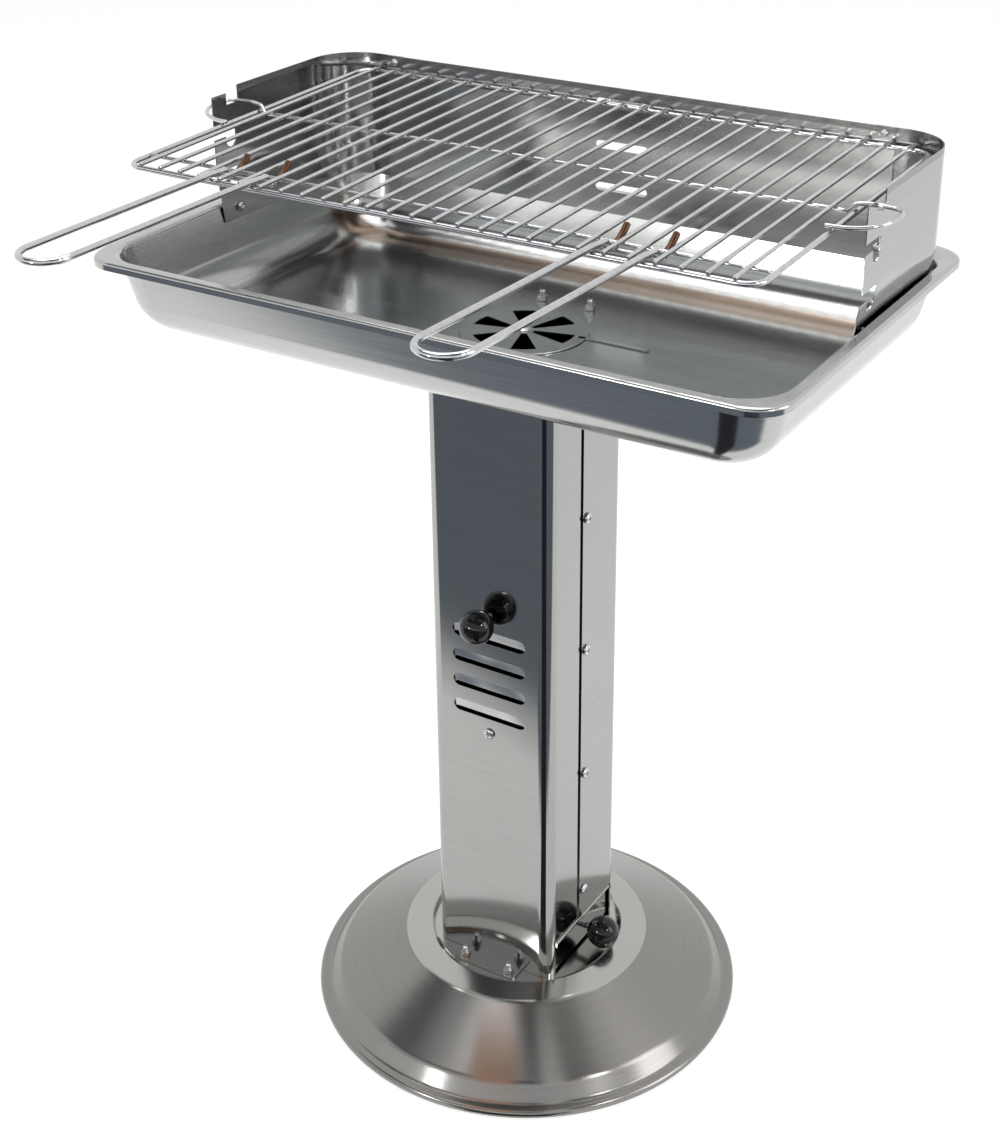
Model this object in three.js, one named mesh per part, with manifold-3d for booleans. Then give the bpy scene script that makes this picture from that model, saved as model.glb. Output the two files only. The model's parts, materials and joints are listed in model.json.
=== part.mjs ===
// A charcoal grill on a square steel column with a round foot.
// Lengths are in millimetres, +Z is up, x runs to the right and y to the rear.
// Pieces are placed around the column's axis, and the group then moves them
// so that the origin lies under the middle of the whole outline.

import * as THREE from 'three';
import { mergeVertices } from 'three/addons/utils/BufferGeometryUtils.js';
import Module from 'manifold-3d';

const wasm = await Module();
wasm.setup();

// Sizes that many pieces share
const sheet = 1;
const gap = 0.3;
const overrun = 5;
const weldDepth = 0.4;
const quarterTurn = Math.PI / 2;
const degree = Math.PI / 180;

// Counts of flat faces on round forms
const baseSides = 56;
const ballSides = 20;
const ballRows = 14;
const boltSides = 10;
const wireSides = 6;
const rodSides = 8;
const cornerSteps = 6;
const bendSteps = 5;
const slotSteps = 3;
const smallBendSteps = 2;
const nutSides = 6;

// Round base plate, from the rolled rim to the well under the column
const baseRadius = 195;
const rimRollRadius = 4;
const rimRestWidth = 5;
const rimRollSteps = 5;
const rimWidth = 9.4;
const rimSlopeWidth = 11.1;
const coneFootHeight = 21.8;
const collarWidth = 21.5;
const collarRise = 4.9;
const collarDrop = 4.3;
const collarLip = 1.6;
const collarLipDrop = 0.9;
const collarStepWidth = 4.2;
const wellMargin = 8;
const wellHeight = 54;

// Square column of two bent shells
const columnWidth = 120;
const columnCorner = 12;
const seamEdgeY = -8.4;
const seamLap = 16;
const seamScrewInset = 6.4;
const seamScrewRise = 64.1;
const seamScrewPitch = 126.2;
const seamScrewCount = 4;
const flangeWidth = 64;
const flangeDepth = 17;
const flangeCorner = 4;
const flangeBoltInset = 9;
const footBoltOut = 9.5;
const bowlBoltOut = 8;

// Air slots, damper plate and its knob in the column's front
const airSlotMargin = 24;
const airSlotHeight = 12;
const airSlotLowest = 318;
const airSlotPitch = 25;
const airSlotCount = 4;
const damperSlotHeight = 8;
const damperOpenTravel = 4.4;
const damperCloseTravel = 3.8;
const damperLap = 9;
const damperMargin = 12;
const damperKnobRise = 19.7;
const guideScrewDrop = 20.4;

// Ball knobs and their stems
const knobRadius = 14.7;
const damperKnobClearance = 3.4;
const ashKnobClearance = 5.8;
const knobBoreDepth = 14;
const stemRadius = 3;
const stemTailRadius = 2;
const stemTailLength = 2.4;

// Ash door at the foot of the right side
const ashDoorInset = 11.5;
const ashDoorRise = 3.3;
const ashDoorHeight = 29.4;
const ashDoorSheet = 0.6;
const ashPinRadius = 0.8;
const ashKnobY = 2;
const ashKnobDrop = 12.5;
const ashEarSize = 4.4;
const ashCurlSides = 12;

// Fire bowl, a drawn pan with a folded rim
const bowlLength = 604;
const bowlDepth = 372;
const bowlFloorHeight = 650;
const bowlWallHeight = 66;
const bowlRimCorner = 30;
const bowlRimWidth = 11;
const bowlInnerCorner = 42;
const bowlFloorCorner = 14;
const bowlWallAngle = 13;
const bowlBendRadius = 36;
const bowlRimBend = 2.5;
const bowlLipDrop = 6.5;

// Air rosette on the bowl's floor
const rosetteRadius = 53;
const rosetteEdgeWidth = 10.2;
const rosetteHubRadius = 8.5;
const rosetteHoles = 6;
const rosetteHoleAngle = 28;
const rosetteSides = 36;
const holeArcSteps = 4;
const leverWidth = 4;
const leverRootInset = 7;
const leverRootY = 8;
const leverKinkOut = 9;
const leverLength = 45;
const leverY = 11;
const rivetHeadRadius = 5;
const rivetHeadHeight = 1.6;
const rivetRadius = 2.5;

// Windshield: a rear panel and two wings on the bowl's rim
const shieldRise = 97;
const shieldFootDrop = 16;
const shieldSideInset = 9.5;
const shieldRearInset = 22.4;
const shieldCornerRadius = 42;
const shieldMainEdgeY = 11;
const panelFootDrop = 14;
const panelSideInset = 51.5;
const panelLap = 17;
const creaseRise = 27;
const creaseRearDrop = 12;
const creaseFlatShare = 0.4;
const skirtLeanAngle = 60;
const skirtClearance = 0.7;
const panelSlotLength = 50;
const panelSlotHeight = 7;
const panelSlotPlay = 0.5;
const panelSlotCount = 3;
const cornerBoltTopDrop = 5.5;
const cornerBoltFootDrop = 2;
const wingBoltSetback = 13;
const wingBoltDrop = 7;
const fingerLength = 33.5;
const fingerTopDrop = 4.3;
const fingerSlotWidth = 15.5;
const fingerHeight = 18.2;
const levelPitch = 37;
const notchMouthHeight = 8.6;
const notchCount = 2;
const notchPocketInset = 6;
const notchPocketWidth = 13;
const notchPocketDrop = 18.4;

// Cooking grate of welded wire
const grateShiftX = 5.6;
const grateSideGap = 24.1;
const grateRodRadius = 2.25;
const grateRodNeck = 0.1;
const grateWireRadius = 1.7;
const grateWireCount = 27;
const grateEdgeGap = 16.2;
const grateFrontInset = 23.6;
const grateFrontDrop = 21.95;
const grateRearGap = 5.5;
const grateHandleRailGap = 27.4;
const grateMidRailGap = 5.5;
const grateSlope = 1.383;
const grateCornerRadius = 14;
const grateWireOverhang = 1.2;
const grateCornerSteps = 4;
const tongueHalfWidth = 18;
const tongueRadius = 2;
const tongueReach = 10;
const tongueCorner = 5;

// Side loops of the wire under the grate
const earRise = 5.6;
const earEdgeGap = 3.5;
const earReach = 12;
const earLoopLength = 42.5;
const earEndInset = 3.9;
const earEndSetback = 10;

// Bent wire handles
const handleYawLeft = 2;
const handleYawRight = -1.3;
const handleWireRadius = 2.6;
const handleBarRadius = 2;
const handleLength = 217.6;
const handleBarGap = 11;
const handleBarOverhang = 8;
const handleTipLength = 21.5;
const handleEndRise = 7.6;
const handleBendSteps = 8;
const handlePitchShare = 8.5;
const hookRise = 10.8;

// Fasteners
const screwShank = 1.6;
const screwHead = 4.7;
const screwHeadHeight = 3;
const screwLength = 9;
const boltShank = 2.5;
const boltHead = 4.8;
const boltHeadHeight = 2.8;
const boltLength = 12;
const nutAcross = 8;
const nutHeight = 4;
const shieldBoltShank = 2;
const shieldBoltHead = 3.2;
const shieldBoltHeadHeight = 1.9;
const shieldBoltLength = 9;
const shieldNutAcross = 7;
const shieldNutHeight = 3.2;
const tipShare = 0.3;
const headCrownShare = 0.6;
const headEdgeShare = 0.4;

// Places in the column and its foot that follow from the sizes
const columnHalf = columnWidth / 2;
const rearShellHalf = columnHalf + gap + sheet;
const columnFoot = wellHeight + gap;
const bowlUnderside = bowlFloorHeight - sheet;
const columnHead = bowlUnderside - gap;
const wellRadius = columnHalf + flangeDepth + wellMargin;
const collarInnerRadius = wellRadius + collarStepWidth;
const collarTopHeight = wellHeight + collarRise;
const collarOuterRadius = collarInnerRadius + collarWidth;
const collarOuterHeight = collarTopHeight - collarDrop;
const rimInnerRadius = baseRadius - rimWidth;
const coneFootRadius = rimInnerRadius - rimSlopeWidth;
const flangeBoltX = flangeWidth / 2 - flangeBoltInset;
const footBoltY = columnHalf + footBoltOut;
const bowlBoltY = columnHalf + bowlBoltOut;
const seamScrewY = seamEdgeY + seamScrewInset;
const seamScrewLowest = columnFoot + seamScrewRise;
const airSlotLength = columnWidth - airSlotMargin * 2;
const damperWidth = airSlotLength + damperLap * 2;
const damperKnobHeight = airSlotLowest + (airSlotCount - 1) * airSlotPitch + damperKnobRise;
const guideScrewHeight = airSlotLowest - guideScrewDrop;
const damperSlotDrop = (airSlotHeight - damperSlotHeight) / 2 + damperOpenTravel;
const ashDoorWidth = columnWidth - ashDoorInset * 2;
const ashDoorFoot = columnFoot + ashDoorRise;
const ashHingeHeight = ashDoorFoot + ashDoorHeight;
const ashKnobHeight = ashHingeHeight - ashKnobDrop;
const ashCurlBore = ashPinRadius + gap;
const ashCurlRadius = ashCurlBore + ashDoorSheet;
const ashHingeX = (columnHalf - sheet + rearShellHalf) / 2;
const ashEarNearY = ashDoorWidth / 2 + gap;
const ashOpeningTop = ashHingeHeight + ashCurlRadius + gap;

// Places in the bowl and the rosette
const bowlHalfLength = bowlLength / 2;
const bowlHalfDepth = bowlDepth / 2;
const bowlInnerHalf = bowlHalfLength - bowlRimWidth;
const bowlRimHeight = bowlFloorHeight + bowlWallHeight;
const wallSlope = Math.tan(bowlWallAngle * degree);
const bendSide = bowlBendRadius * Math.cos(bowlWallAngle * degree);
const bendTop = bowlFloorHeight + bowlBendRadius * (1 - Math.sin(bowlWallAngle * degree));
const bowlFloorHalf = bowlInnerHalf - (bowlRimHeight - bendTop) * wallSlope - bendSide;
const rosetteFoot = bowlFloorHeight + gap;
const rosetteHoleRadius = rosetteRadius - rosetteEdgeWidth;
const leverRootX = rosetteRadius - leverRootInset;
const leverKinkX = rosetteRadius + leverKinkOut;
const leverReach = leverKinkX + leverLength;

// Places in the windshield and the grate
const shieldTop = bowlRimHeight + shieldRise;
const shieldFoot = bowlRimHeight - shieldFootDrop;
const shieldHalf = bowlHalfLength - shieldSideInset;
const shieldRearY = bowlHalfDepth - shieldRearInset;
const shieldFrontY = shieldMainEdgeY - fingerLength;
const creaseHeight = bowlRimHeight + creaseRise;
const panelRearY = shieldRearY - sheet - gap;
const panelFoot = bowlRimHeight - panelFootDrop;
const panelHalf = shieldHalf - panelSideInset;
const shieldReturnX = panelHalf - panelLap;
const cornerBoltX = panelHalf - panelLap / 2;
const cornerBoltTop = shieldTop - cornerBoltTopDrop;
const cornerBoltFoot = bowlRimHeight - cornerBoltFootDrop;
const wingBoltY = shieldMainEdgeY - wingBoltSetback;
const wingBoltHeight = bowlRimHeight - wingBoltDrop;
const grateHalfWidth = shieldHalf - grateSideGap;
const gratePitch = (grateHalfWidth - grateEdgeGap) * 2 / (grateWireCount - 1);
const grateFrontY = grateFrontInset - bowlHalfDepth;
const grateFrontHeight = shieldTop - grateFrontDrop;
const grateHandleRailY = grateFrontY + grateHandleRailGap;
const slopeTan = Math.tan(grateSlope * degree);
const pivotY = panelRearY - sheet / 2;
const pivotHeight = grateFrontHeight + (pivotY - grateFrontY) * slopeTan;
const grateRearY = pivotY - grateRearGap;
const wireLift = grateRodRadius + grateWireRadius - weldDepth;
const handleRailLift = grateRodRadius - grateWireRadius;
const midRailLift = wireLift - grateWireRadius - gap - grateWireRadius;
const earCrossingX = shieldHalf - sheet / 2;
const earCrossingY = shieldMainEdgeY - earEdgeGap;
const grateMidRailY = earCrossingY - grateMidRailGap;
const earOuterX = shieldHalf + earReach;
const earFrontY = earCrossingY - earLoopLength;
const earEndX = grateHalfWidth - earEndInset;
const earEndY = earFrontY - earEndSetback;
const panelSlotHighest = pivotHeight + panelSlotPlay;
const notchFloor = grateFrontHeight + (earCrossingY - grateFrontY) * slopeTan
  + midRailLift + earRise - grateWireRadius - gap;
const fingerTop = shieldTop - fingerTopDrop;
const fingerRearY = shieldMainEdgeY - fingerSlotWidth;
const notchMouthTop = notchFloor - fingerHeight;
const notchPocketRearY = shieldMainEdgeY - notchPocketInset;
const notchPocketFrontY = notchPocketRearY - notchPocketWidth;
const handleReachY = grateFrontY - handleLength;
const handleBarY = grateHandleRailY - handleBarGap;
const handleTipY = grateHandleRailY + handleTipLength;

// Colours and finishes
function steel(color, roughness) {
  return new THREE.MeshStandardMaterial({ color, roughness, metalness: 1 });
}
const looks = {
  base: () => steel(0xb4aca4, 0.38),
  column: () => steel(0xaeb2b8, 0.16),
  bowl: () => steel(0xa9abaa, 0.34),
  shield: () => steel(0x9c9a94, 0.28),
  wire: () => steel(0xd4d6d8, 0.14),
  fastener: () => steel(0xc6c9cc, 0.3),
  knob: () => new THREE.MeshStandardMaterial({ color: 0x0a0a0b, roughness: 0.12, metalness: 0 }),
};

// Closed solids from three.js geometry, with faces turned outwards
function toSolid(geometry) {
  const bare = geometry.clone();
  bare.deleteAttribute('normal');
  bare.deleteAttribute('uv');
  const merged = mergeVertices(bare);
  const places = merged.attributes.position;
  const corner = [new THREE.Vector3(), new THREE.Vector3(), new THREE.Vector3()];
  const kept = [];
  let volume = 0;
  for (let i = 0; i < merged.index.count; i += 3) {
    const ids = [0, 1, 2].map((k) => merged.index.getX(i + k));
    if (ids[0] === ids[1] || ids[1] === ids[2] || ids[2] === ids[0]) continue;
    ids.forEach((id, k) => corner[k].fromBufferAttribute(places, id));
    volume += corner[0].dot(corner[1].clone().cross(corner[2]));
    kept.push(ids);
  }
  const turned = volume < 0 ? kept.map(([a, b, c]) => [a, c, b]) : kept;
  return new wasm.Manifold(new wasm.Mesh({
    numProp: 3,
    vertProperties: Float32Array.from(places.array),
    triVerts: Uint32Array.from(turned.flat()),
  }));
}

function toGeometry(solid) {
  const mesh = solid.getMesh();
  const geometry = new THREE.BufferGeometry();
  geometry.setAttribute('position', new THREE.BufferAttribute(mesh.vertProperties, 3));
  geometry.setIndex(new THREE.BufferAttribute(mesh.triVerts, 1));
  const flat = geometry.toNonIndexed();
  flat.computeVertexNormals();
  return flat;
}

function joined(first, ...others) {
  return others.reduce((sum, other) => sum.add(toSolid(other)), toSolid(first));
}

function cutFrom(solid, ...cutters) {
  return cutters.reduce((rest, cutter) => rest.subtract(toSolid(cutter)), solid);
}

function piece(name, solid, look) {
  const mesh = new THREE.Mesh(toGeometry(solid), look());
  mesh.name = name;
  return mesh;
}

// Small geometry helpers
function arcPoints(x, y, radius, from, to, steps) {
  return Array.from({ length: steps + 1 }, (unused, i) => {
    const angle = (from + (to - from) * i / steps) * degree;
    return [x + radius * Math.cos(angle), y + radius * Math.sin(angle)];
  });
}

function shapeOf(points) {
  return new THREE.Shape(points.map(([x, y]) => new THREE.Vector2(x, y)));
}

function pathOf(points) {
  return new THREE.Path(points.map(([x, y]) => new THREE.Vector2(x, y)));
}

function extruded(shape, from, to) {
  const geometry = new THREE.ExtrudeGeometry(shape, { depth: to - from, bevelEnabled: false });
  return geometry.translate(0, 0, from);
}

// A line moved sideways by a distance, to its right hand, with mitred corners
function shifted(points, distance) {
  const normals = points.slice(1).map(([x, y], i) => {
    const run = new THREE.Vector2(x - points[i][0], y - points[i][1]).normalize();
    return new THREE.Vector2(run.y, -run.x);
  });
  return points.map(([x, y], i) => {
    const before = normals[Math.max(i - 1, 0)];
    const after = normals[Math.min(i, normals.length - 1)];
    const mitre = before.clone().add(after).normalize();
    const reach = distance / mitre.dot(after);
    return [x + mitre.x * reach, y + mitre.y * reach];
  });
}

function thickLine(points, thickness) {
  return [...points, ...shifted(points, thickness).reverse()];
}

function turned(profile, sides) {
  const points = profile.map(([radius, height]) => new THREE.Vector2(Math.max(radius, 0), height));
  return new THREE.LatheGeometry(points, sides).rotateX(quarterTurn);
}

function rod(radius, from, to, sides) {
  const geometry = new THREE.CylinderGeometry(radius, radius, to - from, sides);
  return geometry.rotateX(quarterTurn).translate(0, 0, (from + to) / 2);
}

function box(x0, x1, y0, y1, z0, z1) {
  const geometry = new THREE.BoxGeometry(x1 - x0, y1 - y0, z1 - z0);
  return geometry.translate((x0 + x1) / 2, (y0 + y1) / 2, (z0 + z1) / 2);
}

function slotPoints(length, height, steps) {
  const round = height / 2;
  const reach = length / 2 - round;
  return [
    ...arcPoints(reach, 0, round, -90, 90, steps),
    ...arcPoints(-reach, 0, round, 90, 270, steps),
  ];
}

function moved(points, dx, dy) {
  return points.map(([x, y]) => [x + dx, y + dy]);
}

// A hole along y, cut through the front or rear
function holeAlongY(radius, x, y, z, reach) {
  return rod(radius, -reach, reach, boltSides).rotateX(quarterTurn).translate(x, y, z);
}

function holeAlongX(radius, x, y, z, reach) {
  return rod(radius, -reach, reach, boltSides).rotateY(quarterTurn).translate(x, y, z);
}

function holeAlongZ(radius, x, y, z, reach) {
  return rod(radius, -reach, reach, boltSides).translate(x, y, z);
}

// A wire whose rings stand exactly on the given points
class WirePath extends THREE.Curve {
  constructor(points) {
    super();
    this.points = points;
  }

  getPoint(share) {
    const place = share * (this.points.length - 1);
    const low = Math.min(Math.floor(place), this.points.length - 2);
    return this.points[low].clone().lerp(this.points[low + 1], place - low);
  }

  getPointAt(share) {
    return this.getPoint(share);
  }

  getTangentAt(share) {
    const last = this.points.length - 1;
    const near = Math.round(share * last);
    const before = this.points[Math.max(near - 1, 0)];
    const here = this.points[near];
    const after = this.points[Math.min(near + 1, last)];
    const arriving = here.clone().sub(before).normalize();
    const leaving = after.clone().sub(here).normalize();
    return arriving.add(leaving).normalize();
  }
}

function wire(points, radius, sides) {
  const path = new WirePath(points.map(([x, y, z]) => new THREE.Vector3(x, y, z)));
  const ring = shapeOf(arcPoints(0, 0, radius, 0, 360 - 360 / sides, sides - 1));
  return new THREE.ExtrudeGeometry(ring, { steps: points.length - 1, extrudePath: path });
}

// Fasteners point along +Z, and their seat is at the height zero
function boltSolid(shank, head, headHeight, length) {
  return toSolid(turned([
    [0, -headHeight],
    [head * headCrownShare, -headHeight],
    [head, -headHeight * headEdgeShare],
    [head, 0],
    [shank, 0],
    [shank, length - shank * tipShare],
    [shank - shank * tipShare, length],
    [0, length],
  ], boltSides));
}

function nutSolid(across, height, shank) {
  const corner = across / 2 / Math.cos(Math.PI / nutSides);
  const hexagon = shapeOf(arcPoints(0, 0, corner, 0, 360 - 360 / nutSides, nutSides - 1));
  hexagon.holes.push(pathOf(arcPoints(0, 0, shank + gap, 360 - 360 / boltSides, 0, boltSides - 1)));
  return toSolid(extruded(hexagon, 0, height));
}

// Base plate
const foldedRim = arcPoints(baseRadius - rimRollRadius, rimRollRadius, rimRollRadius, 90, -90, rimRollSteps);
const baseLine = [
  [0, wellHeight],
  [wellRadius, wellHeight],
  [collarInnerRadius - collarLip, collarTopHeight - collarLipDrop],
  [collarInnerRadius, collarTopHeight],
  [collarOuterRadius, collarOuterHeight],
  [coneFootRadius, coneFootHeight],
  [rimInnerRadius, rimRollRadius * 2],
  ...foldedRim,
  [baseRadius - rimRollRadius - rimRestWidth, 0],
];

function flangeBoltPlaces(y) {
  return [[-flangeBoltX, -y], [flangeBoltX, -y], [-flangeBoltX, y], [flangeBoltX, y]];
}

function makeBase() {
  const plate = toSolid(turned(thickLine(baseLine, sheet), baseSides));
  const holes = flangeBoltPlaces(footBoltY).map(([x, y]) => (
    holeAlongZ(boltShank + gap, x, y, wellHeight, overrun)));
  return piece('base_plate', cutFrom(plate, ...holes), looks.base);
}

// One bent shell of the column: a U in plan, open towards its seam.
// The front shell has side = -1, the rear shell side = 1.
function shellPlan(half, side, seamY) {
  const corner = columnHalf - columnCorner;
  const cornerX = half - columnCorner;
  const right = arcPoints(cornerX, side * corner, columnCorner, 0, side * 90, cornerSteps);
  const left = arcPoints(-cornerX, side * corner, columnCorner, side * 90, side * 180, cornerSteps);
  const outside = [[half, seamY], ...right, ...left, [-half, seamY]];
  return thickLine(outside, -side * sheet);
}

function flange(side, low) {
  const tip = columnHalf + flangeDepth;
  const edge = flangeWidth / 2;
  const plan = [
    [-edge, side * (columnHalf - sheet / 2)],
    ...arcPoints(-edge + flangeCorner, side * (tip - flangeCorner), flangeCorner,
      180, 180 - side * 90, smallBendSteps),
    ...arcPoints(edge - flangeCorner, side * (tip - flangeCorner), flangeCorner,
      side * 90, 0, smallBendSteps),
    [edge, side * (columnHalf - sheet / 2)],
  ];
  return extruded(shapeOf(plan), low, low + sheet);
}

function flangeHoles(side) {
  return [-flangeBoltX, flangeBoltX].flatMap((x) => [
    holeAlongZ(boltShank + gap, x, side * footBoltY, columnFoot, overrun),
    holeAlongZ(boltShank + gap, x, side * bowlBoltY, columnHead, overrun),
  ]);
}

function seamScrewHeights() {
  return Array.from({ length: seamScrewCount }, (unused, i) => seamScrewLowest + i * seamScrewPitch);
}

function seamHoles() {
  return seamScrewHeights().flatMap((height) => [-columnHalf, columnHalf].map((x) => (
    holeAlongX(screwShank + gap, x, seamScrewY, height, overrun))));
}

function ashOpening() {
  return box(columnHalf - overrun, columnHalf + overrun, -ashEarNearY, ashEarNearY,
    columnFoot - overrun, ashOpeningTop);
}

// A plate with a hole that holds one end of the ash door's pin
function ashEar(y) {
  const reach = ashEarSize / 2;
  return box(ashHingeX - reach, ashHingeX + reach, y, y + sheet,
    ashHingeHeight - reach, ashHingeHeight + reach);
}

function airSlotHeights() {
  return Array.from({ length: airSlotCount }, (unused, i) => airSlotLowest + i * airSlotPitch);
}

function airSlotCut(size, height, y) {
  const plan = shapeOf(slotPoints(airSlotLength, size, cornerSteps));
  return extruded(plan, -overrun, overrun).rotateX(quarterTurn).translate(0, y, height);
}

function knobSlotCut(y) {
  const width = (stemRadius + gap * 2) * 2;
  const travel = damperOpenTravel + damperCloseTravel;
  const plan = shapeOf(slotPoints(travel + width, width, slotSteps));
  const middle = damperKnobHeight + (damperOpenTravel - damperCloseTravel) / 2;
  return extruded(plan, -overrun, overrun).rotateZ(quarterTurn).rotateX(quarterTurn)
    .translate(0, y, middle);
}

function makeFrontShell() {
  const bent = extruded(shapeOf(shellPlan(columnHalf, -1, seamEdgeY + seamLap)), columnFoot, columnHead);
  const shell = joined(bent, flange(-1, columnFoot), flange(-1, columnHead - sheet),
    ashEar(-ashEarNearY - sheet));
  const pin = holeAlongY(ashPinRadius + gap, ashHingeX, -ashEarNearY - sheet / 2, ashHingeHeight, sheet);
  return piece('column_front_shell', cutFrom(shell, ...flangeHoles(-1), ...seamHoles(),
    ashOpening(), pin, knobSlotCut(-columnHalf),
    holeAlongY(boltShank + gap, 0, -columnHalf, guideScrewHeight, overrun),
    ...airSlotHeights().map((height) => airSlotCut(airSlotHeight, height, -columnHalf))), looks.column);
}

function makeRearShell() {
  const bent = extruded(shapeOf(shellPlan(rearShellHalf, 1, seamEdgeY)), columnFoot, columnHead);
  const shell = joined(bent, flange(1, columnFoot), flange(1, columnHead - sheet),
    ashEar(ashEarNearY));
  const pin = holeAlongY(ashPinRadius + gap, ashHingeX, ashEarNearY + sheet / 2, ashHingeHeight, sheet);
  return piece('column_rear_shell', cutFrom(shell, ...flangeHoles(1), ...seamHoles(),
    ashOpening(), pin), looks.column);
}

function makeSeamScrews() {
  const solid = boltSolid(screwShank, screwHead, screwHeadHeight, screwLength);
  return seamScrewHeights().flatMap((height, i) => [-1, 1].map((side) => {
    const name = `seam_screw_${side < 0 ? 'left' : 'right'}_${i + 1}`;
    const screw = piece(name, solid, looks.fastener);
    screw.position.set(side * (rearShellHalf + gap), seamScrewY, height);
    screw.rotation.y = -side * quarterTurn;
    return screw;
  }));
}

// Damper plate behind the front face, its knob and its guide screw
const damperRearY = -columnHalf + sheet + gap + sheet;

function makeDamper() {
  const low = guideScrewHeight - damperMargin;
  const high = damperKnobHeight + damperMargin;
  const plate = box(-damperWidth / 2, damperWidth / 2, damperRearY - sheet, damperRearY, low, high);
  const travel = damperOpenTravel + damperCloseTravel;
  const width = (boltShank + gap * 2) * 2;
  const guide = extruded(shapeOf(slotPoints(travel + width, width, slotSteps)), -overrun, overrun)
    .rotateZ(quarterTurn).rotateX(quarterTurn)
    .translate(0, damperRearY, guideScrewHeight - (damperOpenTravel - damperCloseTravel) / 2);
  const cuts = airSlotHeights()
    .map((height) => airSlotCut(damperSlotHeight, height - damperSlotDrop, damperRearY));
  const hole = holeAlongY(stemTailRadius + gap, 0, damperRearY, damperKnobHeight, overrun);
  return piece('damper_plate', cutFrom(toSolid(plate), guide, hole, ...cuts), looks.shield);
}

// A stem with a thin tail through its plate. It points along +Z from the plate's face.
function stemSolid(length, plateGap) {
  return toSolid(turned([
    [0, -sheet - stemTailLength],
    [stemTailRadius, -sheet - stemTailLength],
    [stemTailRadius, plateGap],
    [stemRadius, plateGap],
    [stemRadius, length],
    [0, length],
  ], boltSides));
}

// A ball with a flat and a bore that faces -Z, its middle at the origin
function knobSolid() {
  const ball = new THREE.SphereGeometry(knobRadius, ballSides, ballRows).rotateX(quarterTurn);
  const flatAt = Math.sqrt(knobRadius ** 2 - (stemRadius * 2) ** 2);
  const trim = box(-knobRadius, knobRadius, -knobRadius, knobRadius, -knobRadius - overrun, -flatAt);
  const bore = rod(stemRadius + gap, -knobRadius - overrun, knobBoreDepth - knobRadius, boltSides);
  return cutFrom(toSolid(ball), trim, bore);
}

function makeDamperKnob() {
  const plateY = damperRearY - sheet;
  const ballY = -columnHalf - damperKnobClearance - knobRadius;
  const stemEnd = plateY - ballY + knobBoreDepth - knobRadius - gap;
  const stem = piece('damper_knob_stem', stemSolid(stemEnd, gap), looks.fastener);
  stem.position.set(0, plateY, damperKnobHeight);
  stem.rotation.x = quarterTurn;
  const ball = piece('damper_knob', knobSolid(), looks.knob);
  ball.position.set(0, ballY, damperKnobHeight);
  ball.rotation.x = quarterTurn;
  return [stem, ball];
}

function makeGuideScrew() {
  const screw = piece('damper_guide_screw', boltSolid(boltShank, boltHead, boltHeadHeight, boltLength),
    looks.fastener);
  screw.position.set(0, -columnHalf - gap, guideScrewHeight);
  screw.rotation.x = -quarterTurn;
  const nut = piece('damper_guide_nut', nutSolid(nutAcross, nutHeight, boltShank), looks.fastener);
  nut.position.set(0, damperRearY + gap, guideScrewHeight);
  nut.rotation.x = -quarterTurn;
  return [screw, nut];
}

// Ash door: a flap in the column's wall with a curled top edge on a pin
function makeAshDoor() {
  const outline = [
    [-ashCurlRadius, ashDoorFoot - ashHingeHeight],
    ...arcPoints(0, 0, ashCurlRadius, 180, -90, ashCurlSides),
  ];
  const section = shapeOf(thickLine(outline, ashDoorSheet));
  const flap = extruded(section, -ashDoorWidth / 2, ashDoorWidth / 2).rotateX(quarterTurn)
    .translate(ashHingeX, 0, ashHingeHeight);
  const plateX = ashHingeX - ashCurlRadius;
  const hole = holeAlongX(stemTailRadius + gap, plateX, ashKnobY, ashKnobHeight, ashCurlRadius);
  return piece('ash_door', cutFrom(toSolid(flap), hole), looks.column);
}

function makeAshPin() {
  const reach = ashEarNearY + sheet;
  const pin = piece('ash_door_pin', toSolid(rod(ashPinRadius, -reach, reach, boltSides)), looks.fastener);
  pin.position.set(ashHingeX, 0, ashHingeHeight);
  pin.rotation.x = quarterTurn;
  return pin;
}

function makeAshKnob() {
  const faceX = ashHingeX - ashCurlBore;
  const ballX = columnHalf + ashKnobClearance + knobRadius;
  const stemEnd = ballX - faceX + knobBoreDepth - knobRadius - gap;
  const stem = piece('ash_door_stem', stemSolid(stemEnd, gap), looks.fastener);
  stem.position.set(faceX, ashKnobY, ashKnobHeight);
  stem.rotation.y = quarterTurn;
  const ball = piece('ash_door_knob', knobSolid(), looks.knob);
  ball.position.set(ballX, ashKnobY, ashKnobHeight);
  ball.rotation.y = quarterTurn;
  return [stem, ball];
}

// Fire bowl: rounded rectangles stacked along its section
function bowlCorner(half) {
  const rimShare = (bowlHalfLength - half) / bowlRimWidth;
  const wallShare = (bowlInnerHalf - half) / (bowlInnerHalf - bowlFloorHalf);
  if (half > bowlInnerHalf) return bowlRimCorner + (bowlInnerCorner - bowlRimCorner) * rimShare;
  return bowlInnerCorner + (bowlFloorCorner - bowlInnerCorner) * wallShare;
}

function bowlRing([half, height]) {
  const round = bowlCorner(half);
  const x = half - round;
  const y = half - bowlHalfLength + bowlHalfDepth - round;
  return [
    ...arcPoints(x, y, round, 0, 90, cornerSteps),
    ...arcPoints(-x, y, round, 90, 180, cornerSteps),
    ...arcPoints(-x, -y, round, 180, 270, cornerSteps),
    ...arcPoints(x, -y, round, 270, 360, cornerSteps),
  ].map(([px, py]) => [px, py, height]);
}

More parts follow.
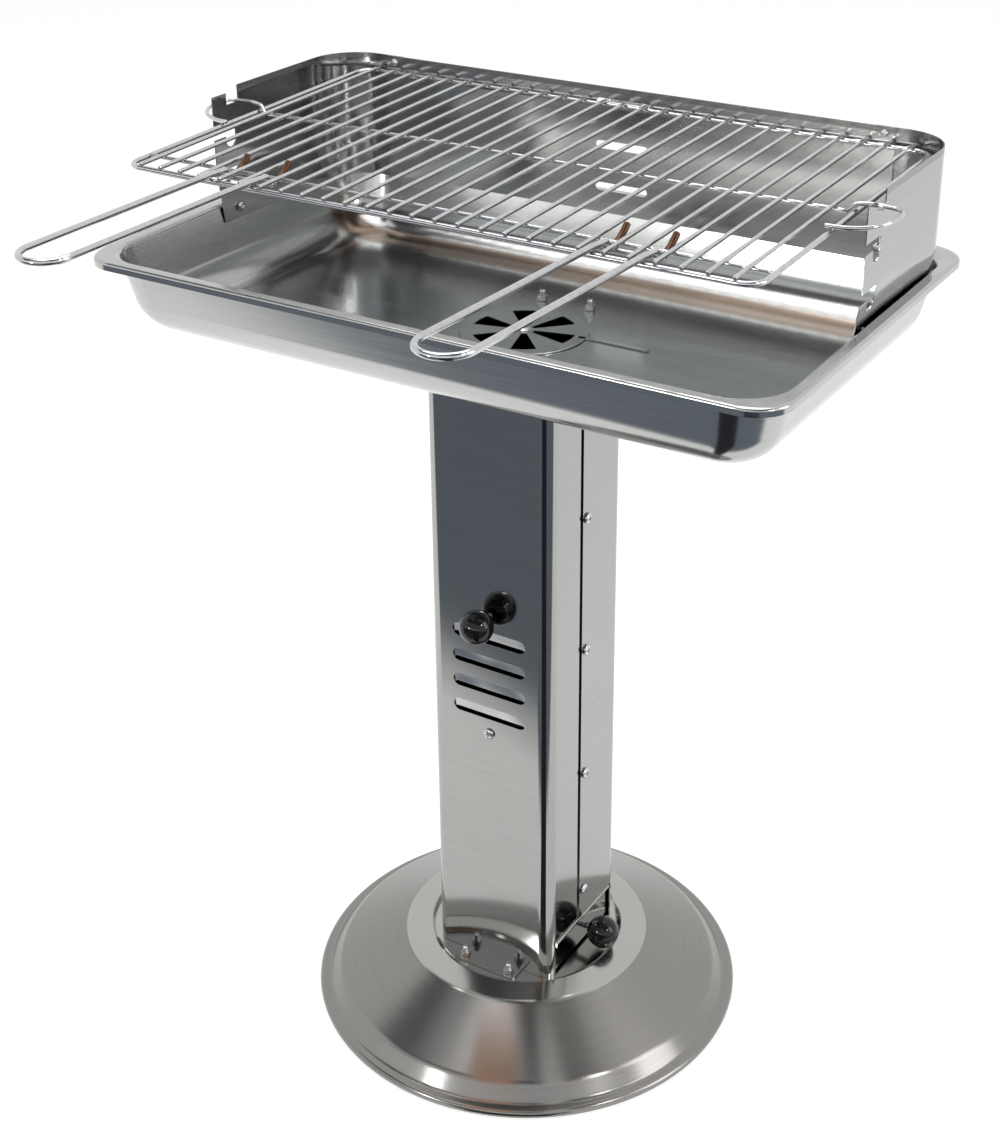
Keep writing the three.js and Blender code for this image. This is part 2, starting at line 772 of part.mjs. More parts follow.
// A closed body through rings of equally many points, with flat ends
function ringBody(rings) {
  const count = rings[0].length;
  const points = rings.flat();
  const faces = [];
  rings.slice(1).forEach((unused, i) => {
    for (let k = 0; k < count; k += 1) {
      const a = i * count + k;
      const b = i * count + (k + 1) % count;
      faces.push(a, b, b + count, a, b + count, a + count);
    }
  });
  [0, rings.length - 1].forEach((i) => {
    const middle = points.length;
    points.push([0, 0, rings[i][0][2]]);
    for (let k = 0; k < count; k += 1) {
      const a = i * count + k;
      const b = i * count + (k + 1) % count;
      faces.push(...(i === 0 ? [b, a, middle] : [a, b, middle]));
    }
  });
  const geometry = new THREE.BufferGeometry();
  geometry.setAttribute('position', new THREE.Float32BufferAttribute(points.flat(), 3));
  geometry.setIndex(faces);
  return geometry;
}

function rosetteHoleCuts(low, high) {
  const half = rosetteHoleAngle / 2;
  const wedge = shapeOf([
    ...arcPoints(0, 0, rosetteHubRadius, half, -half, 1),
    ...arcPoints(0, 0, rosetteHoleRadius, -half, half, holeArcSteps),
  ]);
  return Array.from({ length: rosetteHoles }, (unused, i) => (
    extruded(wedge, low, high).rotateZ(i * 2 * Math.PI / rosetteHoles)));
}

function bowlWallX(height) {
  return bowlInnerHalf - (bowlRimHeight - height) * wallSlope;
}

function makeBowl() {
  const wallTop = bowlRimHeight - bowlRimBend;
  const line = [
    ...arcPoints(bowlFloorHalf, bowlFloorHeight + bowlBendRadius, bowlBendRadius,
      -90, -bowlWallAngle, bendSteps),
    [bowlWallX(wallTop), wallTop],
    [bowlInnerHalf + bowlRimBend / 2, bowlRimHeight],
    ...arcPoints(bowlHalfLength - bowlRimBend, bowlRimHeight - bowlRimBend, bowlRimBend,
      90, 0, smallBendSteps),
    [bowlHalfLength, bowlRimHeight - bowlLipDrop],
  ];
  const section = [...shifted(line, sheet), ...line.slice().reverse()];
  const pan = toSolid(ringBody(section.map(bowlRing)));
  const floorHoles = flangeBoltPlaces(bowlBoltY).map(([x, y]) => (
    holeAlongZ(boltShank + gap, x, y, bowlFloorHeight, overrun)));
  const wallHoles = [-1, 1].map((side) => holeAlongX(shieldBoltShank + gap,
    side * bowlWallX(wingBoltHeight), wingBoltY, wingBoltHeight, overrun));
  const rivetHole = holeAlongZ(rivetRadius + gap, 0, 0, bowlFloorHeight, overrun);
  return piece('fire_bowl', cutFrom(pan, ...floorHoles, ...wallHoles, rivetHole,
    ...rosetteHoleCuts(bowlUnderside - overrun, bowlFloorHeight + overrun)), looks.bowl);
}

function makeRosette() {
  const round = shapeOf(arcPoints(0, 0, rosetteRadius, 0, 360 - 360 / rosetteSides, rosetteSides - 1));
  const disc = extruded(round, rosetteFoot, rosetteFoot + sheet);
  const middle = [[leverRootX, leverRootY], [leverKinkX, leverY], [leverReach, leverY]];
  const lever = shapeOf(thickLine(shifted(middle, -leverWidth / 2), leverWidth));
  const solid = joined(disc, extruded(lever, rosetteFoot, rosetteFoot + sheet));
  const rivetHole = holeAlongZ(rivetRadius + gap, 0, 0, rosetteFoot, overrun);
  return piece('air_rosette', cutFrom(solid, rivetHole,
    ...rosetteHoleCuts(rosetteFoot - overrun, rosetteFoot + overrun)), looks.bowl);
}

function makeRivet() {
  const top = rosetteFoot + sheet + gap;
  const under = bowlUnderside - gap;
  return piece('rosette_rivet', toSolid(turned([
    [0, under - rivetHeadHeight],
    [rivetHeadRadius * headCrownShare, under - rivetHeadHeight],
    [rivetHeadRadius, under],
    [rivetRadius, under],
    [rivetRadius, top],
    [rivetHeadRadius, top],
    [rivetHeadRadius * headCrownShare, top + rivetHeadHeight],
    [0, top + rivetHeadHeight],
  ], boltSides)), looks.fastener);
}

// Four bolts with nuts through a flange of the column and the sheet it meets
function makeFlangeBolts(where, y, seat, stack) {
  return flangeBoltPlaces(y).flatMap(([x, placeY]) => {
    const place = `${placeY < 0 ? 'front' : 'rear'}_${x < 0 ? 'left' : 'right'}`;
    const bolt = piece(`${where}_bolt_${place}`,
      boltSolid(boltShank, boltHead, boltHeadHeight, boltLength), looks.fastener);
    bolt.position.set(x, placeY, seat);
    const nut = piece(`${where}_nut_${place}`, nutSolid(nutAcross, nutHeight, boltShank), looks.fastener);
    nut.position.set(x, placeY, seat + stack);
    return [bolt, nut];
  });
}

// Windshield wing, right hand: side, round corner and return, with a leaning skirt
const wingCornerX = shieldHalf - shieldCornerRadius;
const wingCornerY = shieldRearY - shieldCornerRadius;

function wingColumns() {
  const rearY = wingCornerY;
  const flatY = shieldMainEdgeY + (rearY - shieldMainEdgeY) * creaseFlatShare / 2;
  const middleY = (flatY + rearY) / 2;
  const drop = (y) => creaseHeight - creaseRearDrop * Math.max(0, (y - flatY) / (rearY - flatY));
  const leanAtFoot = shieldHalf - bowlWallX(shieldFoot) + skirtClearance;
  const straight = [shieldFrontY, shieldMainEdgeY, flatY, middleY, rearY].map((y) => (
    { x: shieldHalf, y, angle: 0, crease: drop(y), lean: leanAtFoot }));
  const around = Array.from({ length: cornerSteps + 2 }, (unused, i) => {
    const angle = 90 * (i + 1) / (cornerSteps + 2);
    const fade = Math.max(0, 1 - (angle / skirtLeanAngle) ** 2);
    return {
      x: wingCornerX + shieldCornerRadius * Math.cos(angle * degree),
      y: wingCornerY + shieldCornerRadius * Math.sin(angle * degree),
      angle, crease: drop(rearY), lean: leanAtFoot * fade,
    };
  });
  const end = { x: shieldReturnX, y: shieldRearY, angle: 90, crease: drop(rearY), lean: 0 };
  return [...straight, ...around, end];
}

// A bent sheet as one closed ring of points per column
function wingBody() {
  const columns = wingColumns();
  const rings = columns.map(({ x, y, angle, crease, lean }) => {
    const nx = Math.cos(angle * degree);
    const ny = Math.sin(angle * degree);
    const at = (inset, height) => [x - nx * inset, y - ny * inset, height];
    return [
      at(lean, shieldFoot), at(0, crease), at(0, shieldTop),
      at(sheet, shieldTop), at(sheet, crease), at(lean + sheet, shieldFoot),
    ];
  });
  const count = rings[0].length;
  const faces = [];
  rings.slice(1).forEach((unused, i) => {
    for (let k = 0; k < count; k += 1) {
      const a = i * count + k;
      const b = i * count + (k + 1) % count;
      faces.push(a, b + count, b, a, a + count, b + count);
    }
  });
  [0, (rings.length - 1) * count].forEach((at, end) => {
    const flat = [[0, 1, 4], [0, 4, 5], [1, 2, 3], [1, 3, 4]];
    flat.forEach(([a, b, c]) => faces.push(...(end ? [at + a, at + c, at + b] : [at + a, at + b, at + c])));
  });
  const geometry = new THREE.BufferGeometry();
  geometry.setAttribute('position', new THREE.Float32BufferAttribute(rings.flat(2), 3));
  geometry.setIndex(faces);
  return geometry;
}

// Cuts in the wing's front edge, drawn in the y-z plane
function wingCuts() {
  const front = shieldFrontY - overrun;
  const outlines = [
    [[front, fingerTop], [fingerRearY, fingerTop], [fingerRearY, notchFloor],
      [shieldMainEdgeY, notchFloor], [shieldMainEdgeY, shieldTop + overrun],
      [front, shieldTop + overrun]],
  ];
  const round = (notchPocketRearY - notchPocketFrontY) / 2;
  const middle = (notchPocketRearY + notchPocketFrontY) / 2;
  for (let i = 0; i < notchCount; i += 1) {
    const top = notchMouthTop - i * levelPitch;
    const floor = top - notchPocketDrop;
    outlines.push([
      [front, top], [front, top - notchMouthHeight], [notchPocketFrontY, top - notchMouthHeight],
      ...arcPoints(middle, floor + round, round, 180, 360, cornerSteps),
      [notchPocketRearY, top],
    ]);
  }
  return outlines.map((points) => extruded(shapeOf(points), wingCornerX, shieldHalf + overrun)
    .applyMatrix4(new THREE.Matrix4().makeBasis(
      new THREE.Vector3(0, 1, 0), new THREE.Vector3(0, 0, 1), new THREE.Vector3(1, 0, 0))));
}

function makeWing(side) {
  const holes = [cornerBoltTop, cornerBoltFoot].map((height) => (
    holeAlongY(shieldBoltShank + gap, cornerBoltX, shieldRearY, height, overrun)));
  holes.push(holeAlongX(shieldBoltShank + gap, bowlWallX(wingBoltHeight), wingBoltY,
    wingBoltHeight, overrun));
  const right = cutFrom(toSolid(wingBody()), ...wingCuts(), ...holes);
  const mirrored = toSolid(toGeometry(right).scale(side, 1, 1));
  return piece(`windshield_${side < 0 ? 'left' : 'right'}_wing`, mirrored, looks.shield);
}

function makeShieldPanel() {
  const plan = shapeOf([[-panelHalf, panelFoot], [panelHalf, panelFoot],
    [panelHalf, shieldTop], [-panelHalf, shieldTop]]);
  for (let i = 0; i < panelSlotCount; i += 1) {
    plan.holes.push(pathOf(moved(slotPoints(panelSlotLength, panelSlotHeight, cornerSteps),
      0, panelSlotHighest - i * levelPitch)));
  }
  [-cornerBoltX, cornerBoltX].forEach((x) => [cornerBoltTop, cornerBoltFoot].forEach((height) => {
    plan.holes.push(pathOf(arcPoints(x, height, shieldBoltShank + gap, 0, 360 - 360 / boltSides,
      boltSides - 1)));
  }));
  const panel = extruded(plan, 0, sheet).rotateX(quarterTurn).translate(0, panelRearY, 0);
  return piece('windshield_rear_panel', toSolid(panel), looks.shield);
}

function makeCornerBolts() {
  const levels = { top: cornerBoltTop, foot: cornerBoltFoot };
  return [-1, 1].flatMap((side) => Object.entries(levels).flatMap(([level, height]) => {
    const place = `${side < 0 ? 'left' : 'right'}_${level}`;
    const bolt = piece(`windshield_bolt_${place}`,
      boltSolid(shieldBoltShank, shieldBoltHead, shieldBoltHeadHeight, shieldBoltLength), looks.fastener);
    bolt.position.set(side * cornerBoltX, panelRearY - sheet - gap, height);
    bolt.rotation.x = -quarterTurn;
    const nut = piece(`windshield_nut_${place}`,
      nutSolid(shieldNutAcross, shieldNutHeight, shieldBoltShank), looks.fastener);
    nut.position.set(side * cornerBoltX, shieldRearY + gap, height);
    nut.rotation.x = -quarterTurn;
    return [bolt, nut];
  }));
}

// Foot bolts of the wings: heads outside the bowl's wall, nuts inside the skirt
function makeWingBolts() {
  const wallFace = bowlWallX(wingBoltHeight + shieldBoltHead) + sheet / Math.cos(bowlWallAngle * degree);
  const outside = wallFace + gap;
  const columns = wingColumns();
  const { crease, lean } = columns[0];
  const reach = shieldNutAcross / 2;
  const leanAt = (height) => lean * (crease - height) / (crease - shieldFoot);
  const inside = shieldHalf - leanAt(wingBoltHeight - reach) - sheet - gap;
  const length = outside - inside + shieldNutHeight + shieldBoltShank;
  return [-1, 1].flatMap((side) => {
    const hand = side < 0 ? 'left' : 'right';
    const bolt = piece(`wing_bolt_${hand}`,
      boltSolid(shieldBoltShank, shieldBoltHead, shieldBoltHeadHeight, length), looks.fastener);
    bolt.position.set(side * outside, wingBoltY, wingBoltHeight);
    bolt.rotation.y = -side * quarterTurn;
    const nut = piece(`wing_nut_${hand}`,
      nutSolid(shieldNutAcross, shieldNutHeight, shieldBoltShank), looks.fastener);
    nut.position.set(side * inside, wingBoltY, wingBoltHeight);
    nut.rotation.y = -side * quarterTurn;
    return [bolt, nut];
  });
}

// Cooking grate, drawn flat with its pivot at the origin and then tilted to its slope
function grateFrame() {
  const front = grateFrontY - pivotY;
  const rear = grateRearY - pivotY;
  const x = grateHalfWidth - grateCornerRadius;
  const r = grateCornerRadius;
  const bend = [
    [-x + r, rear],
    ...arcPoints(-x, rear - r, r, 90, 180, grateCornerSteps),
    ...arcPoints(-x, front + r, r, 180, 270, grateCornerSteps),
    ...arcPoints(x, front + r, r, 270, 360, grateCornerSteps),
    ...arcPoints(x, rear - r, r, 0, 90, grateCornerSteps),
    [x - r, rear],
  ];
  return wire(bend.map(([px, py]) => [px, py, 0]), grateRodRadius, rodSides);
}

// The rear rail's ends are turned down a little and sit in the ends of the bent frame
function grateRearRail() {
  const reach = grateHalfWidth - grateCornerRadius - grateRodRadius;
  return rod(grateRodRadius - grateRodNeck, -reach, reach, rodSides)
    .rotateY(quarterTurn).translate(0, grateRearY - pivotY, 0);
}

function grateTongue() {
  const rear = grateRearY - pivotY;
  const r = tongueCorner;
  const x = tongueHalfWidth;
  const outline = [
    [-x, rear - weldDepth],
    ...arcPoints(-x + r, tongueReach - r, r, 180, 90, grateCornerSteps),
    ...arcPoints(x - r, tongueReach - r, r, 90, 0, grateCornerSteps),
    [x, rear - weldDepth],
  ];
  const points = moved(outline, -grateShiftX, 0);
  return wire(points.map(([px, py]) => [px, py, 0]), tongueRadius, rodSides);
}

function makeGrate() {
  const front = grateFrontY - pivotY - grateWireOverhang;
  const rear = grateRearY - pivotY + grateWireOverhang;
  const bars = Array.from({ length: grateWireCount }, (unused, i) => (
    rod(grateWireRadius, -rear, -front, wireSides).rotateX(quarterTurn)
      .translate((i - (grateWireCount - 1) / 2) * gratePitch, 0, wireLift)));
  const rail = rod(grateWireRadius, -grateHalfWidth, grateHalfWidth, wireSides)
    .rotateY(quarterTurn).translate(0, grateHandleRailY - pivotY, handleRailLift);
  const solid = joined(grateFrame(), grateRearRail(), grateTongue(), rail, ...bars);
  const grate = piece('cooking_grate', solid, looks.wire);
  grate.position.set(grateShiftX, pivotY, pivotHeight);
  grate.rotation.x = grateSlope * degree;
  return grate;
}

// The wire under the bars, whose ends rise over the frame and bend into side loops
function makeEarWire() {
  const half = [
    [grateHalfWidth - gratePitch, grateMidRailY, 0],
    [grateHalfWidth - gratePitch / 2, grateMidRailY, 0],
    [grateHalfWidth - grateRodRadius * 3, grateMidRailY, earRise / 6],
    [grateHalfWidth - grateRodRadius, grateMidRailY + grateRodRadius, earRise * 5 / 6],
    [grateHalfWidth + grateRodRadius, earCrossingY - grateWireRadius, earRise],
    [(grateHalfWidth + earCrossingX) / 2, earCrossingY + grateWireRadius / 2, earRise],
    [earCrossingX, earCrossingY, earRise],
    [(earCrossingX + earOuterX) / 2, earCrossingY - grateWireRadius, earRise],
    [earOuterX - grateWireRadius, earCrossingY / 6, earRise],
    [earOuterX, (earCrossingY + earFrontY) / 3, earRise],
    [earOuterX - grateWireRadius * 2, (earCrossingY + earFrontY * 5) / 7, earRise * 6 / 7],
    [earCrossingX, earFrontY, earRise * 5 / 7],
    [(earCrossingX + earEndX) / 2, (earFrontY + earEndY * 2) / 3, earRise * 2 / 3],
    [earEndX, earEndY, grateRodRadius + grateWireRadius + gap - midRailLift],
  ].map(([x, y, z]) => [x, y - pivotY, z + midRailLift]);
  const left = half.slice().reverse().map(([x, y, z]) => [-x, y, z]);
  const solid = toSolid(wire([...left, ...half], grateWireRadius, rodSides));
  const ear = piece('grate_ear_wire', solid, looks.wire);
  ear.position.set(grateShiftX, pivotY, pivotHeight);
  ear.rotation.x = grateSlope * degree;
  return ear;
}

// Handle: a wire loop over the front rail whose ends hook under the second rail.
// It is drawn around the front rail's axis, in the plane of the grate.
function makeHandle(side) {
  const halfGap = gratePitch;
  const lift = grateRodRadius + gap + handleWireRadius;
  const tipY = handleTipY - grateFrontY;
  const railY = grateHandleRailY - grateFrontY;
  const barY = handleBarY - grateFrontY;
  const reachY = handleReachY - grateFrontY;
  const under = handleRailLift - grateWireRadius - gap - handleWireRadius;
  const barHeight = wireLift - grateWireRadius - gap - handleBarRadius;
  const legAtBar = barHeight + handleBarRadius + handleWireRadius - weldDepth;
  const leg = [
    [tipY, under + hookRise],
    [(tipY * 2 + railY) / 3, under + hookRise / 2],
    [railY + handleWireRadius * 2, under + weldDepth * 2],
    [railY, under],
    [railY - handleWireRadius, under + weldDepth],
    [(railY + barY) / 2, (under + legAtBar) / 2],
    [barY + handleWireRadius, legAtBar - weldDepth],
    [barY - handleWireRadius, legAtBar],
    [0, lift],
  ];
  const bend = arcPoints(0, reachY + halfGap, halfGap, 0, -180, handleBendSteps)
    .map(([x, y]) => [x, y, lift + handleEndRise]);
  const points = [
    ...leg.map(([y, z]) => [halfGap, y, z]),
    ...bend,
    ...leg.slice().reverse().map(([y, z]) => [-halfGap, y, z]),
  ];
  const barReach = halfGap + handleBarOverhang;
  const bar = rod(handleBarRadius, -barReach, barReach, rodSides).rotateY(quarterTurn)
    .translate(0, barY, barHeight);
  const name = `${side < 0 ? 'left' : 'right'}_handle`;
  const handle = piece(name, joined(wire(points, handleWireRadius, rodSides), bar), looks.wire);
  const along = grateFrontY - pivotY;
  handle.position.set(grateShiftX + side * handlePitchShare * gratePitch,
    pivotY + along * Math.cos(grateSlope * degree),
    pivotHeight + along * Math.sin(grateSlope * degree));
  handle.rotation.x = grateSlope * degree;
  handle.rotation.z = (side < 0 ? handleYawLeft : handleYawRight) * degree;
  return handle;
}

// Assembly
const grill = new THREE.Group();
grill.add(
  makeBase(),
  makeFrontShell(),
  makeRearShell(),
  ...makeSeamScrews(),
  ...makeFlangeBolts('foot', footBoltY, wellHeight - sheet - gap, sheet * 2 + gap * 3),
  makeDamper(),
  ...makeDamperKnob(),
  ...makeGuideScrew(),
  makeAshDoor(),
  makeAshPin(),
  ...makeAshKnob(),
  makeBowl(),
  makeRosette(),
  makeRivet(),
  ...makeFlangeBolts('bowl', bowlBoltY, columnHead - sheet - gap, sheet * 2 + gap * 3),
  makeShieldPanel(),
  makeWing(-1),
  makeWing(1),
  ...makeCornerBolts(),
  ...makeWingBolts(),
  makeGrate(),
  makeEarWire(),
  makeHandle(-1),
  makeHandle(1),
);

// The origin lies on the ground, under the middle of the whole outline
const outline = new THREE.Box3().setFromObject(grill, true);
grill.position.x = -(outline.min.x + outline.max.x) / 2;
grill.position.y = -(outline.min.y + outline.max.y) / 2;

export default grill;
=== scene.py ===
import json
import math

import bmesh
import bpy
from mathutils import Matrix, Vector


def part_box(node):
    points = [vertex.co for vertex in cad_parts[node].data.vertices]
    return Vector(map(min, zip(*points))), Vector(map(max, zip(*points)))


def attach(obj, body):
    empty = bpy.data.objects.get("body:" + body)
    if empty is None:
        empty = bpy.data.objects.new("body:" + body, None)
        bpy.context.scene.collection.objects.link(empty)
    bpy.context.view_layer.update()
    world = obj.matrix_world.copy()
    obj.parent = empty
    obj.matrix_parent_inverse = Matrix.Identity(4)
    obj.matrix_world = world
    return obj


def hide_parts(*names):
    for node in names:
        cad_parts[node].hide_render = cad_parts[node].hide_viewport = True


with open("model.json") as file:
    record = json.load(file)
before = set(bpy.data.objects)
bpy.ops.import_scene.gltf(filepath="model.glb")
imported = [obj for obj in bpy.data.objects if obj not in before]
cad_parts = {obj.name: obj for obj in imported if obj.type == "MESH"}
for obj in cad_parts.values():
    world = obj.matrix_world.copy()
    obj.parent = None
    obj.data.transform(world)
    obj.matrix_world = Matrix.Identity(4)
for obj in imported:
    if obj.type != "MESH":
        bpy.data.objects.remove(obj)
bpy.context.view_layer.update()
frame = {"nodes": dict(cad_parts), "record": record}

# A charcoal grill on a square column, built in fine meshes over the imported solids.
# Lengths are in millimetres around the column's axis, as in the part's own source:
# x to the right, y to the rear, z up. point() moves them into the frame, in metres.

MM = 0.001
base_low, base_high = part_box("base_plate")
AXIS = (base_low + base_high) / 2

SHEET = 1.0
GAP = 0.3
OVERRUN = 5.0

# Counts of faces on round forms
DISH_SIDES = 192
BALL_SIDES = 64
WIRE_SIDES = 16
CORNER_STEPS = 18
BEND_STEPS = 12
SMALL_SIDES = 32

# Base plate
BASE_RADIUS = 195.0
RIM_ROLL = 4.0
RIM_REST = 5.0
RIM_INNER = 185.6
CONE_FOOT = (174.5, 21.8)
COLLAR_OUTER = (110.7, 54.6)
COLLAR_INNER = (89.2, 58.9)
COLLAR_LIP = (87.6, 58.0)
WELL_RADIUS = 85.0
WELL_HEIGHT = 54.0

# Column
COLUMN_HALF = 60.0
COLUMN_CORNER = 12.0
REAR_HALF = COLUMN_HALF + GAP + SHEET
COLUMN_FOOT = WELL_HEIGHT + GAP
FLOOR_HEIGHT = 650.0
COLUMN_HEAD = FLOOR_HEIGHT - SHEET - GAP
SEAM_EDGE_Y = -8.4
SEAM_LAP = 16.0
FLANGE_WIDTH = 64.0
FLANGE_DEPTH = 17.0
FLANGE_CORNER = 4.0
SLOT_LENGTH = 72.0
SLOT_HEIGHT = 12.0
SLOT_LOWEST = 318.0
SLOT_PITCH = 25.0
SLOT_COUNT = 4
DAMPER_WIDTH = 90.0
DAMPER_MARGIN = 12.0
DAMPER_SLOT = 8.0
DAMPER_OPEN = 4.4
DAMPER_CLOSE = 3.8
DAMPER_DROP = (SLOT_HEIGHT - DAMPER_SLOT) / 2 + DAMPER_OPEN
KNOB_HEIGHT = 412.7
GUIDE_HEIGHT = 297.6
DAMPER_FRONT = -COLUMN_HALF + SHEET + GAP

# Ball knobs
KNOB_RADIUS = 14.7
STEM_RADIUS = 3.0

# Ash door
ASH_WIDTH = 97.0
ASH_FOOT = 57.6
ASH_HINGE = 87.0
ASH_SHEET = 0.6
ASH_BORE = 1.1
ASH_EAR = 2.2
ASH_CURL = ASH_BORE + ASH_SHEET
ASH_HINGE_X = (COLUMN_HALF - SHEET + REAR_HALF) / 2
ASH_OPENING_TOP = ASH_HINGE + ASH_CURL + GAP

# Bowl
BOWL_HALF_X = 302.0
BOWL_HALF_Y = 186.0
RIM_HEIGHT = 716.0
RIM_CORNER = 30.0
RIM_WIDTH = 11.0
RIM_BEND = 2.5
LIP_DROP = 6.5
INNER_CORNER = 42.0
FLOOR_CORNER = 14.0
WALL_ANGLE = math.radians(13)
BEND_RADIUS = 36.0
INNER_HALF = BOWL_HALF_X - RIM_WIDTH
BEND_TOP = FLOOR_HEIGHT + BEND_RADIUS * (1 - math.sin(WALL_ANGLE))
FLOOR_HALF = (INNER_HALF - (RIM_HEIGHT - BEND_TOP) * math.tan(WALL_ANGLE)
              - BEND_RADIUS * math.cos(WALL_ANGLE))

# Air rosette
ROSETTE_RADIUS = 53.0
ROSETTE_REACH = 42.8
ROSETTE_HUB = 8.5
ROSETTE_HOLES = 6
ROSETTE_ANGLE = math.radians(28)
ROSETTE_FOOT = FLOOR_HEIGHT + GAP
LEVER_LINE = [(46.0, 8.0), (62.0, 11.0), (107.0, 11.0)]
LEVER_WIDTH = 4.0

# Windshield
SHIELD_TOP = 813.0
SHIELD_FOOT = 700.0
PANEL_FOOT = 702.0
PANEL_HALF = 241.0
SHIELD_HALF = 292.5
SHIELD_REAR = 163.6
SHIELD_CORNER = 42.0
SHIELD_RETURN = 224.0
SHIELD_FRONT = -22.5
MAIN_EDGE = 11.0
CREASE_HEIGHT = 743.0
CREASE_DROP = 12.0
CREASE_FLAT = 0.2
SKIRT_ANGLE = 60.0
SKIRT_CLEARANCE = 0.7
PANEL_REAR = SHIELD_REAR - SHEET - GAP
PANEL_SLOT = (50.0, 7.0)
PANEL_SLOT_TOP = 799.4
PANEL_SLOT_PITCH = 37.0
PANEL_SLOT_COUNT = 3
FINGER_TOP = 808.7
FINGER_REAR = -4.5
NOTCH_TOP = 780.4
NOTCH_MOUTH = 8.6
NOTCH_PITCH = 37.0
NOTCH_COUNT = 2
NOTCH_FRONT = -8.0
NOTCH_REAR = 5.0
NOTCH_DROP = 18.4

# Grate, drawn flat around its pivot line at the rear and then tilted
GRATE_X = 5.6
GRATE_HALF = 268.4
FRAME_WIRE = 2.25
BAR_WIRE = 1.7
BAR_PITCH = 19.4
BAR_COUNT = 27
FRONT_Y = -162.4
FRONT_HEIGHT = 791.05
REAR_Y = 156.3
HANDLE_RAIL_Y = -135.0
MID_RAIL_Y = 2.0
GRATE_SLOPE = math.radians(1.383)
GRATE_CORNER = 14.0
BAR_OVERHANG = 1.2
TONGUE_HALF = 18.0
TONGUE_WIRE = 2.0
TONGUE_REACH = 10.0
TONGUE_CORNER = 5.0
WELD_DEPTH = 0.4
PIVOT_Y = PANEL_REAR - SHEET / 2
PIVOT_HEIGHT = FRONT_HEIGHT + (PIVOT_Y - FRONT_Y) * math.tan(GRATE_SLOPE)
BAR_LIFT = FRAME_WIRE + BAR_WIRE - WELD_DEPTH
RAIL_LIFT = FRAME_WIRE - BAR_WIRE
MID_LIFT = BAR_LIFT - BAR_WIRE - GAP - BAR_WIRE
EAR_RISE = 5.6
EAR_CROSSING = (292.0, 7.5)
EAR_OUTER_X = 304.5
EAR_FRONT_Y = -35.0
EAR_END = (264.5, -45.0)
NOTCH_FLOOR = (FRONT_HEIGHT + (EAR_CROSSING[1] - FRONT_Y) * math.tan(GRATE_SLOPE)
               + MID_LIFT + EAR_RISE - BAR_WIRE - GAP)

# Handles
HANDLE_YAW = {-1: math.radians(2), 1: math.radians(-1.3)}
HANDLE_WIRE = 2.6
HANDLE_BAR = 2.0
HANDLE_REACH_Y = -380.0
HANDLE_BAR_Y = -146.0
HANDLE_OVERHANG = 8.0
HANDLE_TIP_Y = -113.5
HANDLE_RISE = 7.6
HOOK_RISE = 10.8
HANDLE_BARS_OUT = 8.5


# Meshes

def point(x, y, z):
    return Vector((AXIS.x + x * MM, AXIS.y + y * MM, z * MM))


def arc(x, y, radius, start, end, steps):
    turns = [math.radians(start + (end - start) * i / steps) for i in range(steps + 1)]
    return [(x + radius * math.cos(t), y + radius * math.sin(t)) for t in turns]


def soften(points, radius, steps=6):
    """Rounds the corners of an open line in the plane or in space."""
    line = [Vector(p) for p in points]
    made = [line[0]]
    for before, here, after in zip(line, line[1:], line[2:]):
        reach = min(radius, (here - before).length * 0.45, (after - here).length * 0.45)
        start = here + (before - here).normalized() * reach
        end = here + (after - here).normalized() * reach
        for i in range(steps + 1):
            t = i / steps
            made.append(start * (1 - t) ** 2 + here * (2 * t * (1 - t)) + end * t ** 2)
    return [tuple(p) for p in made + [line[-1]]]


def shifted(points, distance):
    """Moves an open line in the plane to its right-hand side, with mitred corners."""
    normals = []
    for (x0, y0), (x1, y1) in zip(points, points[1:]):
        run = Vector((x1 - x0, y1 - y0)).normalized()
        normals.append(Vector((run.y, -run.x)))
    made = []
    for i, (x, y) in enumerate(points):
        before, after = normals[max(i - 1, 0)], normals[min(i, len(normals) - 1)]
        mitre = (before + after).normalized()
        reach = distance / mitre.dot(after)
        made.append((x + mitre.x * reach, y + mitre.y * reach))
    return made


def thick(points, thickness):
    return list(points) + shifted(points, thickness)[::-1]


def lathe(profile, sides):
    """Turns a line of (radius, height) about the z axis. Points at radius zero close it."""
    places, rings, faces = [], [], []
    for radius, height in profile:
        count = sides if radius > 0 else 1
        rings.append([len(places) + k for k in range(count)])
        for k in range(count):
            turn = 2 * math.pi * k / sides
            places.append((radius * math.cos(turn), radius * math.sin(turn), height))
    for low, high in zip(rings, rings[1:]):
        for k in range(sides):
            n = k + 1
            around = [low[k % len(low)], low[n % len(low)], high[n % len(high)], high[k % len(high)]]
            face = list(dict.fromkeys(around))
            if len(face) > 2:
                faces.append(face)
    return places, faces


def sections(rings, closed=False, caps=True):
    """Joins rings of equally many points into one skin."""
    count = len(rings[0])
    places = [p for ring in rings for p in ring]
    faces = []
    for i in range(len(rings) if closed else len(rings) - 1):
        low, high = i * count, (i + 1) % len(rings) * count
        for k in range(count):
            n = (k + 1) % count
            faces.append([low + k, low + n, high + n, high + k])
    if caps and not closed:
        faces.append(list(range(count))[::-1])
        faces.append([(len(rings) - 1) * count + k for k in range(count)])
    return places, faces


def prism(outline, low, high, along="z"):
    """A flat outline drawn out along one axis. The outline is in (x, y), (x, z) or (y, z)."""
    put = {"z": lambda a, b, c: (a, b, c),
           "y": lambda a, b, c: (a, c, b),
           "x": lambda a, b, c: (c, a, b)}[along]
    return sections([[put(a, b, c) for a, b in outline] for c in (low, high)])


# The domed end of a wire: how far out each ring stands and its size, both as shares of the radius
WIRE_DOME = ((0.35, 0.55), (0.18, 0.85))


